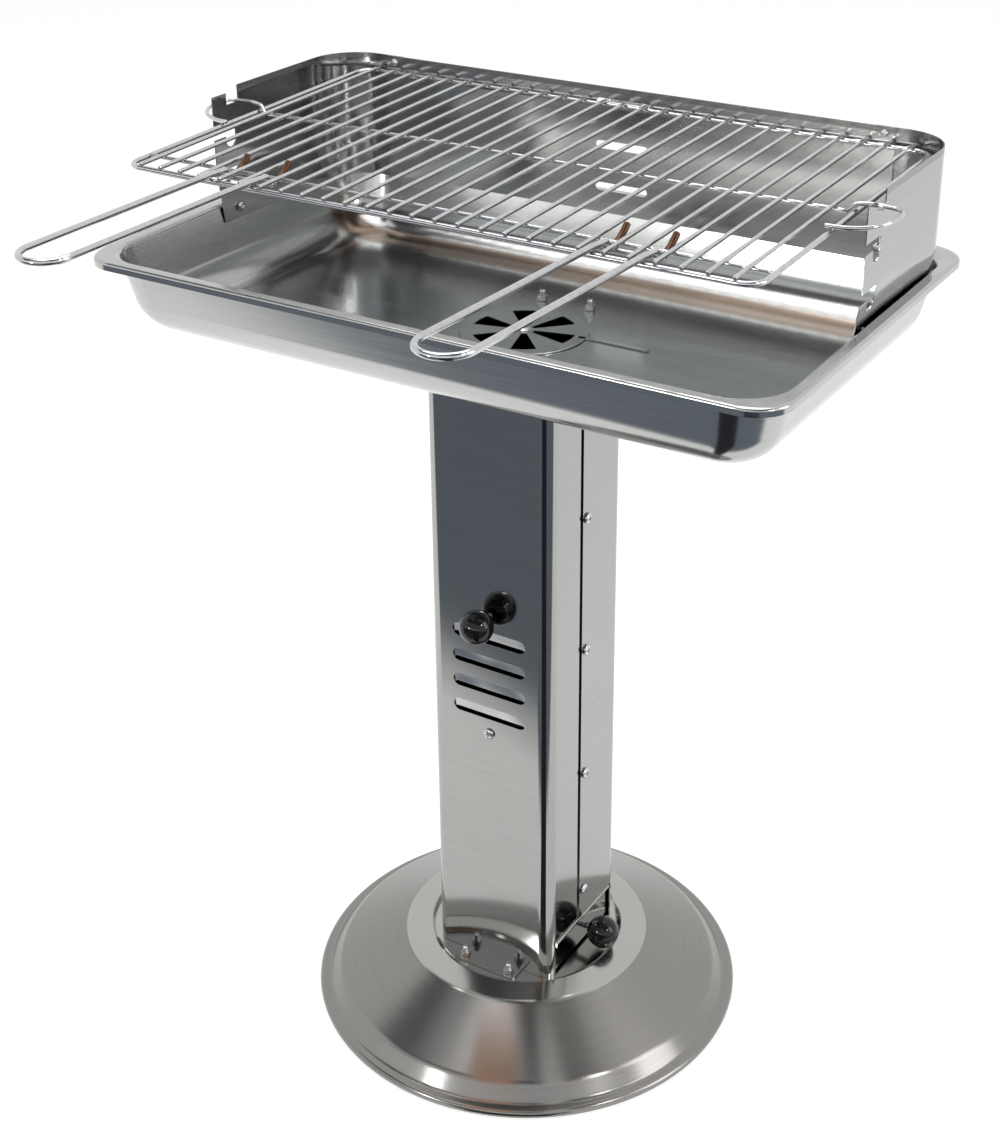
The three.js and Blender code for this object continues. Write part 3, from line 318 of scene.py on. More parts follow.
def tube(points, radius, sides=WIRE_SIDES, closed=False):
    """A round wire along a line, with domed ends."""
    line = [Vector(p) for p in points]
    count = len(line)
    runs = []
    for i in range(count):
        before = line[i - 1] if closed or i else line[0]
        after = line[(i + 1) % count] if closed or i < count - 1 else line[-1]
        runs.append((after - before).normalized())
    side = runs[0].orthogonal().normalized()
    rings = []
    for place, run in zip(line, runs):
        side = (side - run * side.dot(run)).normalized()
        rings.append((place, run, side))
    made = []
    if not closed:
        place, run, side = rings[0]
        made += [(place - run * radius * out, run, side, share) for out, share in WIRE_DOME]
    made += [(place, run, side, 1.0) for place, run, side in rings]
    if not closed:
        place, run, side = rings[-1]
        made += [(place + run * radius * out, run, side, share) for out, share in reversed(WIRE_DOME)]
    skins = []
    for place, run, side, share in made:
        up = run.cross(side)
        skins.append([tuple(place + (side * math.cos(t) + up * math.sin(t)) * radius * share)
                      for t in (2 * math.pi * k / sides for k in range(sides))])
    return sections(skins, closed=closed)


def merged(*parts):
    places, faces = [], []
    for part_places, part_faces in parts:
        start = len(places)
        places += part_places
        faces += [[start + k for k in face] for face in part_faces]
    return places, faces


def moved(part, move):
    places, faces = part
    return [tuple(move @ Vector(p)) for p in places], faces


def mesh_object(name, part, place=point):
    places, faces = part
    mesh = bpy.data.meshes.new(name)
    mesh.from_pydata([place(*p) for p in places], [], faces)
    work = bmesh.new()
    work.from_mesh(mesh)
    bmesh.ops.recalc_face_normals(work, faces=work.faces)
    work.to_mesh(mesh)
    work.free()
    made = bpy.data.objects.new(name, mesh)
    bpy.context.scene.collection.objects.link(made)
    return made


def unplaced(*place):
    """Millimetres to metres, for a piece that is put in its place later."""
    return Vector(place) * MM


def cut(piece, *parts, put=point, crossing=False):
    """Cuts closed bodies out of a piece. crossing says that they cross one another."""
    cutter = mesh_object(piece.name + "_cutter", merged(*parts), put)
    hole = piece.modifiers.new("cut", "BOOLEAN")
    hole.object = cutter
    hole.solver = "EXACT"
    hole.use_self = crossing
    bpy.context.view_layer.update()
    evaluated = piece.evaluated_get(bpy.context.evaluated_depsgraph_get())
    piece.data = bpy.data.meshes.new_from_object(evaluated)
    piece.modifiers.clear()
    bpy.data.objects.remove(cutter)
    return piece


def dress(piece, look, body, *nodes, sharp=30):
    """Shades a piece, lets it ride on its body and hides the solids it stands for."""
    mesh = piece.data
    mesh.materials.clear()
    mesh.materials.append(look["material"])
    for face in mesh.polygons:
        face.use_smooth = True
        face.material_index = 0
    mesh.set_sharp_from_angle(angle=math.radians(sharp))
    even = piece.modifiers.new("even shading", "WEIGHTED_NORMAL")
    even.keep_sharp = True
    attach(piece, body)
    if nodes:
        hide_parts(*nodes)
    return piece


# Materials

def add(tree, kind, inputs=None, **settings):
    node = tree.nodes.new(kind)
    for key, value in settings.items():
        setattr(node, key, value)
    for key, value in (inputs or {}).items():
        if isinstance(value, bpy.types.NodeSocket):
            tree.links.new(value, node.inputs[key])
        else:
            node.inputs[key].default_value = value
    return node


def new_material(name):
    material = bpy.data.materials.new(name)
    material.use_nodes = True
    material.node_tree.nodes.clear()
    return material, material.node_tree


def ramp(tree, value, stops):
    node = add(tree, "ShaderNodeValToRGB", {"Fac": value})
    elements = node.color_ramp.elements
    while len(elements) < len(stops):
        elements.new(0.5)
    for element, (position, color) in zip(elements, stops):
        element.position = position
        element.color = (*color, 1)
    return node.outputs["Color"]


def scaled_place(tree, scale):
    place = add(tree, "ShaderNodeTexCoord").outputs["Object"]
    return add(tree, "ShaderNodeVectorMath", {0: place, 1: scale}, operation="MULTIPLY").outputs["Vector"]


def noise(tree, vector, scale, detail=3.0, rough=0.55):
    return add(tree, "ShaderNodeTexNoise",
               {"Vector": vector, "Scale": scale, "Detail": detail, "Roughness": rough}).outputs["Fac"]


def spread(tree, value, low, high):
    return add(tree, "ShaderNodeMapRange", {"Value": value, "To Min": low, "To Max": high}).outputs["Result"]


def spun_place(tree):
    """Distance from the dish's axis and a slow turn round it, for marks that run in rings."""
    place = add(tree, "ShaderNodeTexCoord").outputs["Object"]
    away = add(tree, "ShaderNodeVectorMath", {0: place, 1: (AXIS.x, AXIS.y, 0)}, operation="SUBTRACT")
    flat = add(tree, "ShaderNodeVectorMath", {0: away.outputs["Vector"], 1: (1, 1, 0)}, operation="MULTIPLY")
    radius = add(tree, "ShaderNodeVectorMath", {0: flat.outputs["Vector"]},
                 operation="LENGTH").outputs["Value"]
    unit = add(tree, "ShaderNodeVectorMath", {0: flat.outputs["Vector"]},
               operation="NORMALIZE").outputs["Vector"]
    around = add(tree, "ShaderNodeSeparateXYZ", {"Vector": unit})
    return add(tree, "ShaderNodeCombineXYZ", {
        "X": add(tree, "ShaderNodeMath", {0: radius, 1: 900.0}, operation="MULTIPLY").outputs["Value"],
        "Y": around.outputs["X"],
        "Z": around.outputs["Y"],
    }).outputs["Vector"]


def beyond(tree, axis, start, end, source="Object"):
    """A share that goes from zero to one between two places along an axis, or two tilts of the face."""
    level = add(tree, "ShaderNodeSeparateXYZ",
                {"Vector": add(tree, "ShaderNodeTexCoord").outputs[source]}).outputs[axis]
    return add(tree, "ShaderNodeMapRange", {"Value": level, "From Min": start, "From Max": end},
               interpolation_type="SMOOTHSTEP").outputs["Result"]


def steel(slot, name, color, roughness, marks, mark_depth, swing=0.05, shade=0.08,
          aniso=0.0, rings=False, waves=0.0, wave_scale=7.0, band=None, strip=None):
    """Bare metal. marks is the scale of the brush marks along x, y and z, per metre. band and
    strip give a place with another colour and roughness."""
    material, tree = new_material(name)
    place = spun_place(tree) if rings else scaled_place(tree, marks)
    grain = noise(tree, place, 1.0, 4.0, 0.6)
    cloud = noise(tree, scaled_place(tree, (1, 1, 1)), 9.0, 2.0)
    mix = add(tree, "ShaderNodeMath", {0: grain, 1: spread(tree, cloud, 0.7, 1.3)}, operation="MULTIPLY")
    tone = ramp(tree, mix.outputs["Value"], [
        (0.2, tuple(c * (1 - shade) for c in color)),
        (0.8, tuple(min(c * (1 + shade), 1) for c in color))])
    rough = spread(tree, mix.outputs["Value"], roughness - swing, roughness + swing)
    height = add(tree, "ShaderNodeBump", {"Height": grain, "Strength": 1.0, "Distance": mark_depth * MM})
    if waves:
        wave = noise(tree, scaled_place(tree, (1, 1, 1)), wave_scale, 1.0)
        height = add(tree, "ShaderNodeBump", {
            "Height": wave, "Strength": 1.0, "Distance": waves * MM, "Normal": height.outputs["Normal"]})
    inside = None
    if band:
        axis, start, end, band_color, band_rough = band
        inside = beyond(tree, axis, start, end)
    if strip:
        near, far, low, band_color, band_rough = strip
        across = add(tree, "ShaderNodeMath", {0: beyond(tree, "Y", *near), 1: beyond(tree, "Y", *far)},
                     operation="SUBTRACT").outputs["Value"]
        deep = add(tree, "ShaderNodeMath", {0: across, 1: beyond(tree, "Z", *low)},
                   operation="MULTIPLY").outputs["Value"]
        inside = add(tree, "ShaderNodeMath", {0: deep, 1: beyond(tree, "Z", *FACING_UP, source="Normal")},
                     operation="MULTIPLY").outputs["Value"]
    if inside:
        tone = add(tree, "ShaderNodeMix", {0: inside, 6: tone, 7: (*band_color, 1)},
                   data_type="RGBA").outputs[2]
        rough = add(tree, "ShaderNodeMix", {0: inside, 2: rough, 3: band_rough}, data_type="FLOAT").outputs[0]
    inputs = {"Base Color": tone, "Metallic": 1.0, "Roughness": rough, "Normal": height.outputs["Normal"]}
    if aniso:
        inputs["Anisotropic"] = aniso
        inputs["Anisotropic Rotation"] = 0.25
        inputs["Tangent"] = add(tree, "ShaderNodeTangent", direction_type="RADIAL",
                                axis="Z").outputs["Tangent"]
    shader = add(tree, "ShaderNodeBsdfPrincipled", inputs)
    add(tree, "ShaderNodeOutputMaterial", {"Surface": shader.outputs["BSDF"]})
    return {"material": material, "slot": slot}


def plastic(slot, name, color, roughness):
    material, tree = new_material(name)
    grain = noise(tree, scaled_place(tree, (1, 1, 1)), 900.0, 2.0)
    cloud = noise(tree, scaled_place(tree, (1, 1, 1)), 60.0, 2.0)
    tone = ramp(tree, cloud, [(0.3, color), (0.7, tuple(c * 1.6 for c in color))])
    height = add(tree, "ShaderNodeBump", {"Height": grain, "Strength": 1.0, "Distance": 0.002 * MM})
    shader = add(tree, "ShaderNodeBsdfPrincipled", {
        "Base Color": tone, "Roughness": spread(tree, cloud, roughness, roughness + 0.03),
        "IOR": 1.42, "Normal": height.outputs["Normal"]})
    add(tree, "ShaderNodeOutputMaterial", {"Surface": shader.outputs["BSDF"]})
    return {"material": material, "slot": slot}



# Places with another colour and roughness, some a real tint or stain, some painted shade and sheen. A band
# starts and is full at two places along one axis.
# A strip lies between two such edges along y, below a height, on faces that look up.
FACING_UP = (0.15, 0.35)
# On the base from the well's floor up, the lower roughness is the collar's polish and the lighter colour is
# painted sheen.
COLLAR_POLISH_AND_SHEEN = ("Z", 53.6 * MM, 54.0 * MM, (0.42, 0.42, 0.405), 0.14)
# The darker band along the top edge of the windshield sheets is painted shade, standing in for a folded hem
# that is not built.
PAINTED_HEM_SHADE = ("Z", 808.1 * MM, 808.4 * MM, (0.30, 0.295, 0.285), 0.22)
HEAT_TINT = ("Y", AXIS.y - 134.0 * MM, AXIS.y - 128.0 * MM, (0.09, 0.045, 0.028), 0.3)
HEAT_STAIN = ((AXIS.y + 112.0 * MM, AXIS.y + 124.0 * MM), (AXIS.y + 143.0 * MM, AXIS.y + 150.0 * MM),
              (690.0 * MM, 680.0 * MM), (0.21, 0.16, 0.125), 0.2)

LOOKS = {
    # The spun base has the polished collar, with its painted sheen, from the well's floor up.
    "base": steel("base_steel", "spun steel", (0.265, 0.257, 0.246), 0.24, None, 0.0006,
                  swing=0.03, aniso=0.7, rings=True, band=COLLAR_POLISH_AND_SHEEN),
    "column": steel("column_steel", "polished column steel", (0.36, 0.36, 0.35), 0.10, (14, 14, 1300), 0.0006,
                    swing=0.03, waves=0.1, wave_scale=5.0),
    "bowl": steel("bowl_steel", "satin pan steel", (0.46, 0.465, 0.455), 0.16, (10, 60, 700), 0.0006,
                  swing=0.04, waves=0.12, strip=HEAT_STAIN),
    # The panel and wing sheets carry the painted hem shade along their top edge.
    "shield": steel("shield_steel", "windshield steel", (0.60, 0.60, 0.59), 0.12, (10, 10, 400), 0.0002,
                    swing=0.03, waves=0.08, wave_scale=4.0, band=PAINTED_HEM_SHADE),
    "wing": steel("shield_steel", "wing steel", (0.40, 0.405, 0.41), 0.12, (10, 10, 400), 0.0002,
                  swing=0.03, waves=0.12, wave_scale=4.0, band=PAINTED_HEM_SHADE),
    "damper": steel("shield_steel", "damper sheet", (0.50, 0.50, 0.50), 0.12, (10, 10, 900), 0.0008,
                    waves=4.0, wave_scale=14.0),
    "chrome": steel("grate_chrome", "plated wire", (0.55, 0.55, 0.56), 0.09, (200, 200, 200), 0.001,
                    swing=0.03, shade=0.12),
    "tinted": steel("grate_chrome", "heat-tinted wire", (0.55, 0.55, 0.56), 0.09, (200, 200, 200), 0.001,
                    swing=0.03, shade=0.12, band=HEAT_TINT),
    "zinc": steel("fastener_zinc", "zinc plate", (0.60, 0.61, 0.62), 0.22, (500, 500, 500), 0.002),
    "knob": plastic("knob_plastic", "black knob plastic", (0.004, 0.004, 0.0045), 0.03),
}
MAIN_LOOKS = ("base", "column", "bowl", "shield", "chrome", "zinc", "knob")

SLOT_LOOKS = {LOOKS[name]["slot"]: LOOKS[name] for name in MAIN_LOOKS}
for part in frame["record"]["subparts"]:
    solid = frame["nodes"][part["node"]]
    solid.data.materials.clear()
    solid.data.materials.append(SLOT_LOOKS[part["material_slot"]]["material"])


# Base plate

def base_plate():
    roll = arc(BASE_RADIUS - RIM_ROLL, RIM_ROLL, RIM_ROLL, 90, -90, 14)
    line = soften([(0, WELL_HEIGHT), (WELL_RADIUS, WELL_HEIGHT), COLLAR_LIP], 2.5)
    cone = [COLLAR_LIP, COLLAR_INNER, COLLAR_OUTER, CONE_FOOT, (RIM_INNER, RIM_ROLL * 2), roll[0]]
    line += soften(cone, 3.0)[1:]
    line += roll[1:] + [(BASE_RADIUS - RIM_ROLL - RIM_REST, 0)]
    under = shifted(line, SHEET)[::-1]
    skin = [(max(radius, 0), height) for radius, height in line + under]
    dress(mesh_object("spun_base", lathe(skin, DISH_SIDES)), LOOKS["base"], "stand", "base_plate", sharp=40)


# Column

def slot_outline(length, height, x=0.0, y=0.0, steps=10):
    reach, radius = (length - height) / 2, height / 2
    ends = arc(reach, 0, radius, -90, 90, steps) + arc(-reach, 0, radius, 90, 270, steps)
    return [(x + a, y + b) for a, b in ends]


def shell_plan(half, side, seam_y):
    corner, corner_x = COLUMN_HALF - COLUMN_CORNER, half - COLUMN_CORNER
    outside = [(half, seam_y)]
    outside += arc(corner_x, side * corner, COLUMN_CORNER, 0, side * 90, CORNER_STEPS)
    outside += arc(-corner_x, side * corner, COLUMN_CORNER, side * 90, side * 180, CORNER_STEPS)
    outside.append((-half, seam_y))
    return thick(outside, -side * SHEET)


def flange(side, low):
    tip, edge = COLUMN_HALF + FLANGE_DEPTH, FLANGE_WIDTH / 2
    root = side * (COLUMN_HALF - SHEET / 2)
    plan = [(-edge, root)]
    plan += arc(-edge + FLANGE_CORNER, side * (tip - FLANGE_CORNER), FLANGE_CORNER, 180, 180 - side * 90, 6)
    plan += arc(edge - FLANGE_CORNER, side * (tip - FLANGE_CORNER), FLANGE_CORNER, side * 90, 0, 6)
    plan.append((edge, root))
    return prism(plan, low, low + SHEET)


def air_slots(height, drop, front, rear):
    return [prism(slot_outline(SLOT_LENGTH, height, 0, SLOT_LOWEST + i * SLOT_PITCH - drop), front, rear, "y")
            for i in range(SLOT_COUNT)]


def ash_opening():
    reach = ASH_WIDTH / 2 + GAP
    outline = [(-reach, COLUMN_FOOT - OVERRUN), (reach, COLUMN_FOOT - OVERRUN),
               (reach, ASH_OPENING_TOP), (-reach, ASH_OPENING_TOP)]
    return prism(outline, COLUMN_HALF - OVERRUN, COLUMN_HALF + OVERRUN, "x")


def upright_slot(width, travel, height, front, rear):
    outline = [(a, b + height) for b, a in slot_outline(travel + width, width)]
    return prism(outline, front, rear, "y")


def column():
    travel, middle = DAMPER_OPEN + DAMPER_CLOSE, (DAMPER_OPEN - DAMPER_CLOSE) / 2
    through = (-COLUMN_HALF - OVERRUN, -COLUMN_HALF + OVERRUN)
    front = mesh_object("front_shell", merged(
        prism(shell_plan(COLUMN_HALF, -1, SEAM_EDGE_Y + SEAM_LAP), COLUMN_FOOT, COLUMN_HEAD)))
    knob_width = (STEM_RADIUS + GAP * 2) * 2
    cut(front, *air_slots(SLOT_HEIGHT, 0, *through), ash_opening(),
        upright_slot(knob_width, travel, KNOB_HEIGHT + middle, *through))
    join(front, flange(-1, COLUMN_FOOT), flange(-1, COLUMN_HEAD - SHEET), ash_ear(-1))
    dress(front, LOOKS["column"], "stand", "column_front_shell")
    rear = mesh_object("rear_shell", prism(shell_plan(REAR_HALF, 1, SEAM_EDGE_Y), COLUMN_FOOT, COLUMN_HEAD))
    cut(rear, ash_opening())
    join(rear, flange(1, COLUMN_FOOT), flange(1, COLUMN_HEAD - SHEET), ash_ear(1))
    dress(rear, LOOKS["column"], "stand", "column_rear_shell")
    plate = mesh_object("damper_sheet", prism(
        [(-DAMPER_WIDTH / 2, GUIDE_HEIGHT - DAMPER_MARGIN), (DAMPER_WIDTH / 2, GUIDE_HEIGHT - DAMPER_MARGIN),
         (DAMPER_WIDTH / 2, KNOB_HEIGHT + DAMPER_MARGIN), (-DAMPER_WIDTH / 2, KNOB_HEIGHT + DAMPER_MARGIN)],
        DAMPER_FRONT, DAMPER_FRONT + SHEET, "y"))
    cut(plate, *air_slots(DAMPER_SLOT, DAMPER_DROP, *through))
    dress(plate, LOOKS["damper"], "damper", "damper_plate")


def ash_ear(side):
    near = ASH_WIDTH / 2 + GAP
    outline = [(ASH_HINGE_X + a * ASH_EAR, ASH_HINGE + b * ASH_EAR)
               for a, b in ((-1, -1), (1, -1), (1, 1), (-1, 1))]
    return prism(outline, *sorted((side * near, side * (near + SHEET))), "y")


def join(piece, *parts):
    extra = mesh_object(piece.name + "_extra", merged(*parts))
    work = bmesh.new()
    work.from_mesh(piece.data)
    work.from_mesh(extra.data)
    work.to_mesh(piece.data)
    work.free()
    bpy.data.objects.remove(extra)
    return piece


def ash_door():
    outline = [(-ASH_CURL, ASH_FOOT - ASH_HINGE)] + arc(0, 0, ASH_CURL, 180, -90, 28)
    section = [(ASH_HINGE_X + a, ASH_HINGE + b) for a, b in thick(outline, ASH_SHEET)]
    flap = mesh_object("ash_flap_sheet", prism(section, -ASH_WIDTH / 2, ASH_WIDTH / 2, "y"))
    dress(flap, LOOKS["column"], "ash_flap", "ash_door")


# Ball knobs: the ball and its flat, turned along +z

KNOBS = (("damper_knob", "damper", Vector((0, -1, 0))),
         ("ash_door_knob", "ash_flap", Vector((1, 0, 0))))


def knobs():
    flat = math.sqrt(KNOB_RADIUS ** 2 - (STEM_RADIUS * 2) ** 2)
    foot = math.degrees(math.asin(flat / KNOB_RADIUS))
    ball = [(radius, height) for radius, height in arc(0, 0, KNOB_RADIUS, -foot, 90, 40)]
    ball = [(0, -flat)] + ball[:-1] + [(0, KNOB_RADIUS)]
    for name, body, out in KNOBS:
        low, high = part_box(name)
        middle = (low + high) / 2
        tip = high if out.x > 0 else low
        away = tip.x - KNOB_RADIUS * MM if out.x > 0 else tip.y + KNOB_RADIUS * MM
        middle = Vector((away, middle.y, middle.z)) if out.x > 0 else Vector((middle.x, away, middle.z))
        piece = mesh_object(name + "_ball", lathe(ball, BALL_SIDES), unplaced)
        piece.matrix_world = Matrix.Translation(middle) @ out.to_track_quat("Z", "Y").to_matrix().to_4x4()
        dress(piece, LOOKS["knob"], body, name, sharp=50)


# Bowl

def bowl_corner(half):
    if half > INNER_HALF:
        return INNER_CORNER + (RIM_CORNER - INNER_CORNER) * (half - INNER_HALF) / RIM_WIDTH
    return INNER_CORNER + (FLOOR_CORNER - INNER_CORNER) * (INNER_HALF - half) / (INNER_HALF - FLOOR_HALF)


def bowl_ring(half, height):
    corner = bowl_corner(half)
    x, y = half - corner, half - BOWL_HALF_X + BOWL_HALF_Y - corner
    plan = (arc(x, y, corner, 0, 90, CORNER_STEPS) + arc(-x, y, corner, 90, 180, CORNER_STEPS)
            + arc(-x, -y, corner, 180, 270, CORNER_STEPS) + arc(x, -y, corner, 270, 360, CORNER_STEPS))
    return [(a, b, height) for a, b in plan]


def wall_x(height):
    return INNER_HALF - (RIM_HEIGHT - height) * math.tan(WALL_ANGLE)


def rosette_cuts(low, high):
    half = math.degrees(ROSETTE_ANGLE / 2)
    cuts = []
    for i in range(ROSETTE_HOLES):
        turn = 360 * i / ROSETTE_HOLES
        wedge = arc(0, 0, ROSETTE_HUB, turn + half, turn - half, 4)
        wedge += arc(0, 0, ROSETTE_REACH, turn - half, turn + half, 10)
        cuts.append(prism(wedge, low, high))
    return cuts


def bowl():
    wall_top = RIM_HEIGHT - RIM_BEND
    bend = arc(FLOOR_HALF, FLOOR_HEIGHT + BEND_RADIUS, BEND_RADIUS,
               -90, -math.degrees(WALL_ANGLE), BEND_STEPS)
    rim = soften([bend[-1], (wall_x(wall_top), wall_top), (INNER_HALF + RIM_BEND / 2, RIM_HEIGHT),
                  (BOWL_HALF_X - RIM_BEND, RIM_HEIGHT)], 1.6, 4)
    lip = arc(BOWL_HALF_X - RIM_BEND, RIM_HEIGHT - RIM_BEND, RIM_BEND, 90, 0, 8)
    line = bend[:-1] + rim[:-1] + lip + [(BOWL_HALF_X, RIM_HEIGHT - LIP_DROP)]
    outline = shifted(line, SHEET) + line[::-1]
    pan = mesh_object("drawn_pan", sections([bowl_ring(*p) for p in outline]))
    cut(pan, *rosette_cuts(FLOOR_HEIGHT - SHEET - OVERRUN, FLOOR_HEIGHT + OVERRUN))
    dress(pan, LOOKS["bowl"], "stand", "fire_bowl", sharp=40)
    disc_line = [(0, ROSETTE_FOOT), (ROSETTE_RADIUS, ROSETTE_FOOT)]
    disc_line += arc(ROSETTE_RADIUS - SHEET / 2, ROSETTE_FOOT + SHEET / 2, SHEET / 2, 0, 90, 4)
    disc_line.append((0, ROSETTE_FOOT + SHEET))
    disc = mesh_object("rosette_disc", lathe(disc_line, 96))
    cut(disc, *rosette_cuts(ROSETTE_FOOT - OVERRUN, ROSETTE_FOOT + OVERRUN))
    lever = thick(shifted(soften(LEVER_LINE, 6.0), -LEVER_WIDTH / 2), LEVER_WIDTH)
    join(disc, prism(lever, ROSETTE_FOOT, ROSETTE_FOOT + SHEET))
    dress(disc, LOOKS["bowl"], "rosette", "air_rosette", sharp=40)


# Windshield

def shield_panel():
    outline = [(-PANEL_HALF, PANEL_FOOT), (PANEL_HALF, PANEL_FOOT),
               (PANEL_HALF, SHIELD_TOP), (-PANEL_HALF, SHIELD_TOP)]
    panel = mesh_object("rear_panel_sheet", prism(outline, PANEL_REAR - SHEET, PANEL_REAR, "y"))
    cut(panel, *[prism(slot_outline(*PANEL_SLOT, 0, PANEL_SLOT_TOP - i * PANEL_SLOT_PITCH),
                       PANEL_REAR - OVERRUN, PANEL_REAR + OVERRUN, "y") for i in range(PANEL_SLOT_COUNT)])
    dress(panel, LOOKS["shield"], "stand", "windshield_rear_panel")


def wing_columns():
    corner_x, corner_y = SHIELD_HALF - SHIELD_CORNER, SHIELD_REAR - SHIELD_CORNER
    flat_y = MAIN_EDGE + (corner_y - MAIN_EDGE) * CREASE_FLAT
    lean = SHIELD_HALF - wall_x(SHIELD_FOOT) + SKIRT_CLEARANCE

    def crease(y):
        return CREASE_HEIGHT - CREASE_DROP * max(0.0, (y - flat_y) / (corner_y - flat_y))

    stations = [SHIELD_FRONT, MAIN_EDGE, flat_y, (flat_y + corner_y) / 2, corner_y]
    columns = [(SHIELD_HALF, y, 0.0, crease(y), lean) for y in stations]
    steps = CORNER_STEPS * 2
    for i in range(1, steps + 1):
        turn = 90 * i / steps
        fade = max(0.0, 1 - (turn / SKIRT_ANGLE) ** 2)
        columns.append((corner_x + SHIELD_CORNER * math.cos(math.radians(turn)),
                        corner_y + SHIELD_CORNER * math.sin(math.radians(turn)),
                        turn, crease(corner_y), lean * fade))
    columns.append((SHIELD_RETURN, SHIELD_REAR, 90.0, crease(corner_y), 0.0))
    return columns


def wing_cuts():
    front, corner_x = SHIELD_FRONT - OVERRUN, SHIELD_HALF - SHIELD_CORNER
    outlines = [[(front, FINGER_TOP), (FINGER_REAR, FINGER_TOP), (FINGER_REAR, NOTCH_FLOOR),
                 (MAIN_EDGE, NOTCH_FLOOR), (MAIN_EDGE, SHIELD_TOP + OVERRUN), (front, SHIELD_TOP + OVERRUN)]]
    radius, middle = (NOTCH_REAR - NOTCH_FRONT) / 2, (NOTCH_REAR + NOTCH_FRONT) / 2
    for i in range(NOTCH_COUNT):
        top = NOTCH_TOP - i * NOTCH_PITCH
        floor = top - NOTCH_DROP
        outlines.append([(front, top), (front, top - NOTCH_MOUTH), (NOTCH_FRONT, top - NOTCH_MOUTH)]
                        + arc(middle, floor + radius, radius, 180, 360, 12) + [(NOTCH_REAR, top)])
    return [prism(outline, corner_x, SHIELD_HALF + OVERRUN, "x") for outline in outlines]


def wings():
    rings = []
    for x, y, turn, crease, lean in wing_columns():
        nx, ny = math.cos(math.radians(turn)), math.sin(math.radians(turn))
        side = soften([(lean, SHIELD_FOOT), (0, crease), (0, SHIELD_TOP)], 3.0, 4)
        inner = [(inset + SHEET, height) for inset, height in side][::-1]
        rings.append([(x - nx * inset, y - ny * inset, height) for inset, height in side + inner])
    places, faces = sections(rings)
    for side, hand in ((1, "right"), (-1, "left")):
        wing = mesh_object(hand + "_wing_sheet", (places, faces))
        cut(wing, *wing_cuts())
        if side < 0:
            for vertex in wing.data.vertices:
                vertex.co.x = 2 * AXIS.x - vertex.co.x
            wing.data.flip_normals()
        dress(wing, LOOKS["wing"], "stand", f"windshield_{hand}_wing")


# Grate and handles

GRATE_PLACE = (Matrix.Translation((GRATE_X, PIVOT_Y, PIVOT_HEIGHT))
               @ Matrix.Rotation(GRATE_SLOPE, 4, "X"))


def straight(start, end, radius, sides=WIRE_SIDES):
    return tube([start, end], radius, sides)


def grate():
    front, rear = FRONT_Y - PIVOT_Y, REAR_Y - PIVOT_Y
    x, r = GRATE_HALF - GRATE_CORNER, GRATE_CORNER
    loop = (arc(-x, rear - r, r, 90, 180, 10) + arc(-x, front + r, r, 180, 270, 10)
            + arc(x, front + r, r, 270, 360, 10) + arc(x, rear - r, r, 0, 90, 10))
    parts = [tube([(a, b, 0) for a, b in loop], FRAME_WIRE, closed=True)]
    for i in range(BAR_COUNT):
        bar_x = (i - (BAR_COUNT - 1) / 2) * BAR_PITCH
        parts.append(straight((bar_x, front - BAR_OVERHANG, BAR_LIFT),
                              (bar_x, rear + BAR_OVERHANG, BAR_LIFT), BAR_WIRE))
    rail_y = HANDLE_RAIL_Y - PIVOT_Y
    parts.append(straight((-GRATE_HALF, rail_y, RAIL_LIFT), (GRATE_HALF, rail_y, RAIL_LIFT), BAR_WIRE))
    r = TONGUE_CORNER
    tongue = [(-TONGUE_HALF, rear)]
    tongue += arc(-TONGUE_HALF + r, TONGUE_REACH - r, r, 180, 90, 8)
    tongue += arc(TONGUE_HALF - r, TONGUE_REACH - r, r, 90, 0, 8)
    tongue.append((TONGUE_HALF, rear))
    parts.append(tube([(a - GRATE_X, b, 0) for a, b in tongue], TONGUE_WIRE))
    piece = mesh_object("wire_grate", moved(merged(*parts), GRATE_PLACE))
    dress(piece, LOOKS["chrome"], "grate", "cooking_grate", sharp=60)


def smooth_line(points, steps=6):
    """A smooth curve through the points."""
    line = [Vector(p) for p in points]
    made = []
    for i in range(len(line) - 1):
        a, b = line[max(i - 1, 0)], line[i]
        c, d = line[i + 1], line[min(i + 2, len(line) - 1)]
        for k in range(steps):
            t = k / steps
            made.append(0.5 * (2 * b + (c - a) * t + (2 * a - 5 * b + 4 * c - d) * t * t
                               + (3 * b - a - 3 * c + d) * t ** 3))
    return [tuple(p) for p in made + [line[-1]]]


def side_loops():
    half = GRATE_HALF
    cx, cy = EAR_CROSSING
    fy, (ex, ey) = EAR_FRONT_Y, EAR_END
    path = [
        (half - BAR_PITCH, MID_RAIL_Y, 0),
        (half - BAR_PITCH / 2, MID_RAIL_Y, 0),
        (half - FRAME_WIRE * 3, MID_RAIL_Y, EAR_RISE / 6),
        (half - FRAME_WIRE, MID_RAIL_Y + FRAME_WIRE, EAR_RISE * 5 / 6),
        (half + FRAME_WIRE, cy - BAR_WIRE, EAR_RISE),
        ((half + cx) / 2, cy + BAR_WIRE / 2, EAR_RISE),
        (cx, cy, EAR_RISE),
        ((cx + EAR_OUTER_X) / 2, cy - BAR_WIRE, EAR_RISE),
        (EAR_OUTER_X - BAR_WIRE, cy / 6, EAR_RISE),
        (EAR_OUTER_X, (cy + fy) / 3, EAR_RISE),
        (EAR_OUTER_X - BAR_WIRE * 2, (cy + fy * 5) / 7, EAR_RISE * 6 / 7),
        (cx, fy, EAR_RISE * 5 / 7),
        ((cx + ex) / 2, (fy + ey * 2) / 3, EAR_RISE * 2 / 3),
        (ex, ey, FRAME_WIRE + BAR_WIRE + GAP - MID_LIFT),
    ]
    right = smooth_line([(x, y - PIVOT_Y, z + MID_LIFT) for x, y, z in path])
    left = [(-x, y, z) for x, y, z in right][::-1]
    piece = mesh_object("side_loop_wire", moved(tube(left + right, BAR_WIRE), GRATE_PLACE))
    dress(piece, LOOKS["chrome"], "grate", "grate_ear_wire", sharp=60)


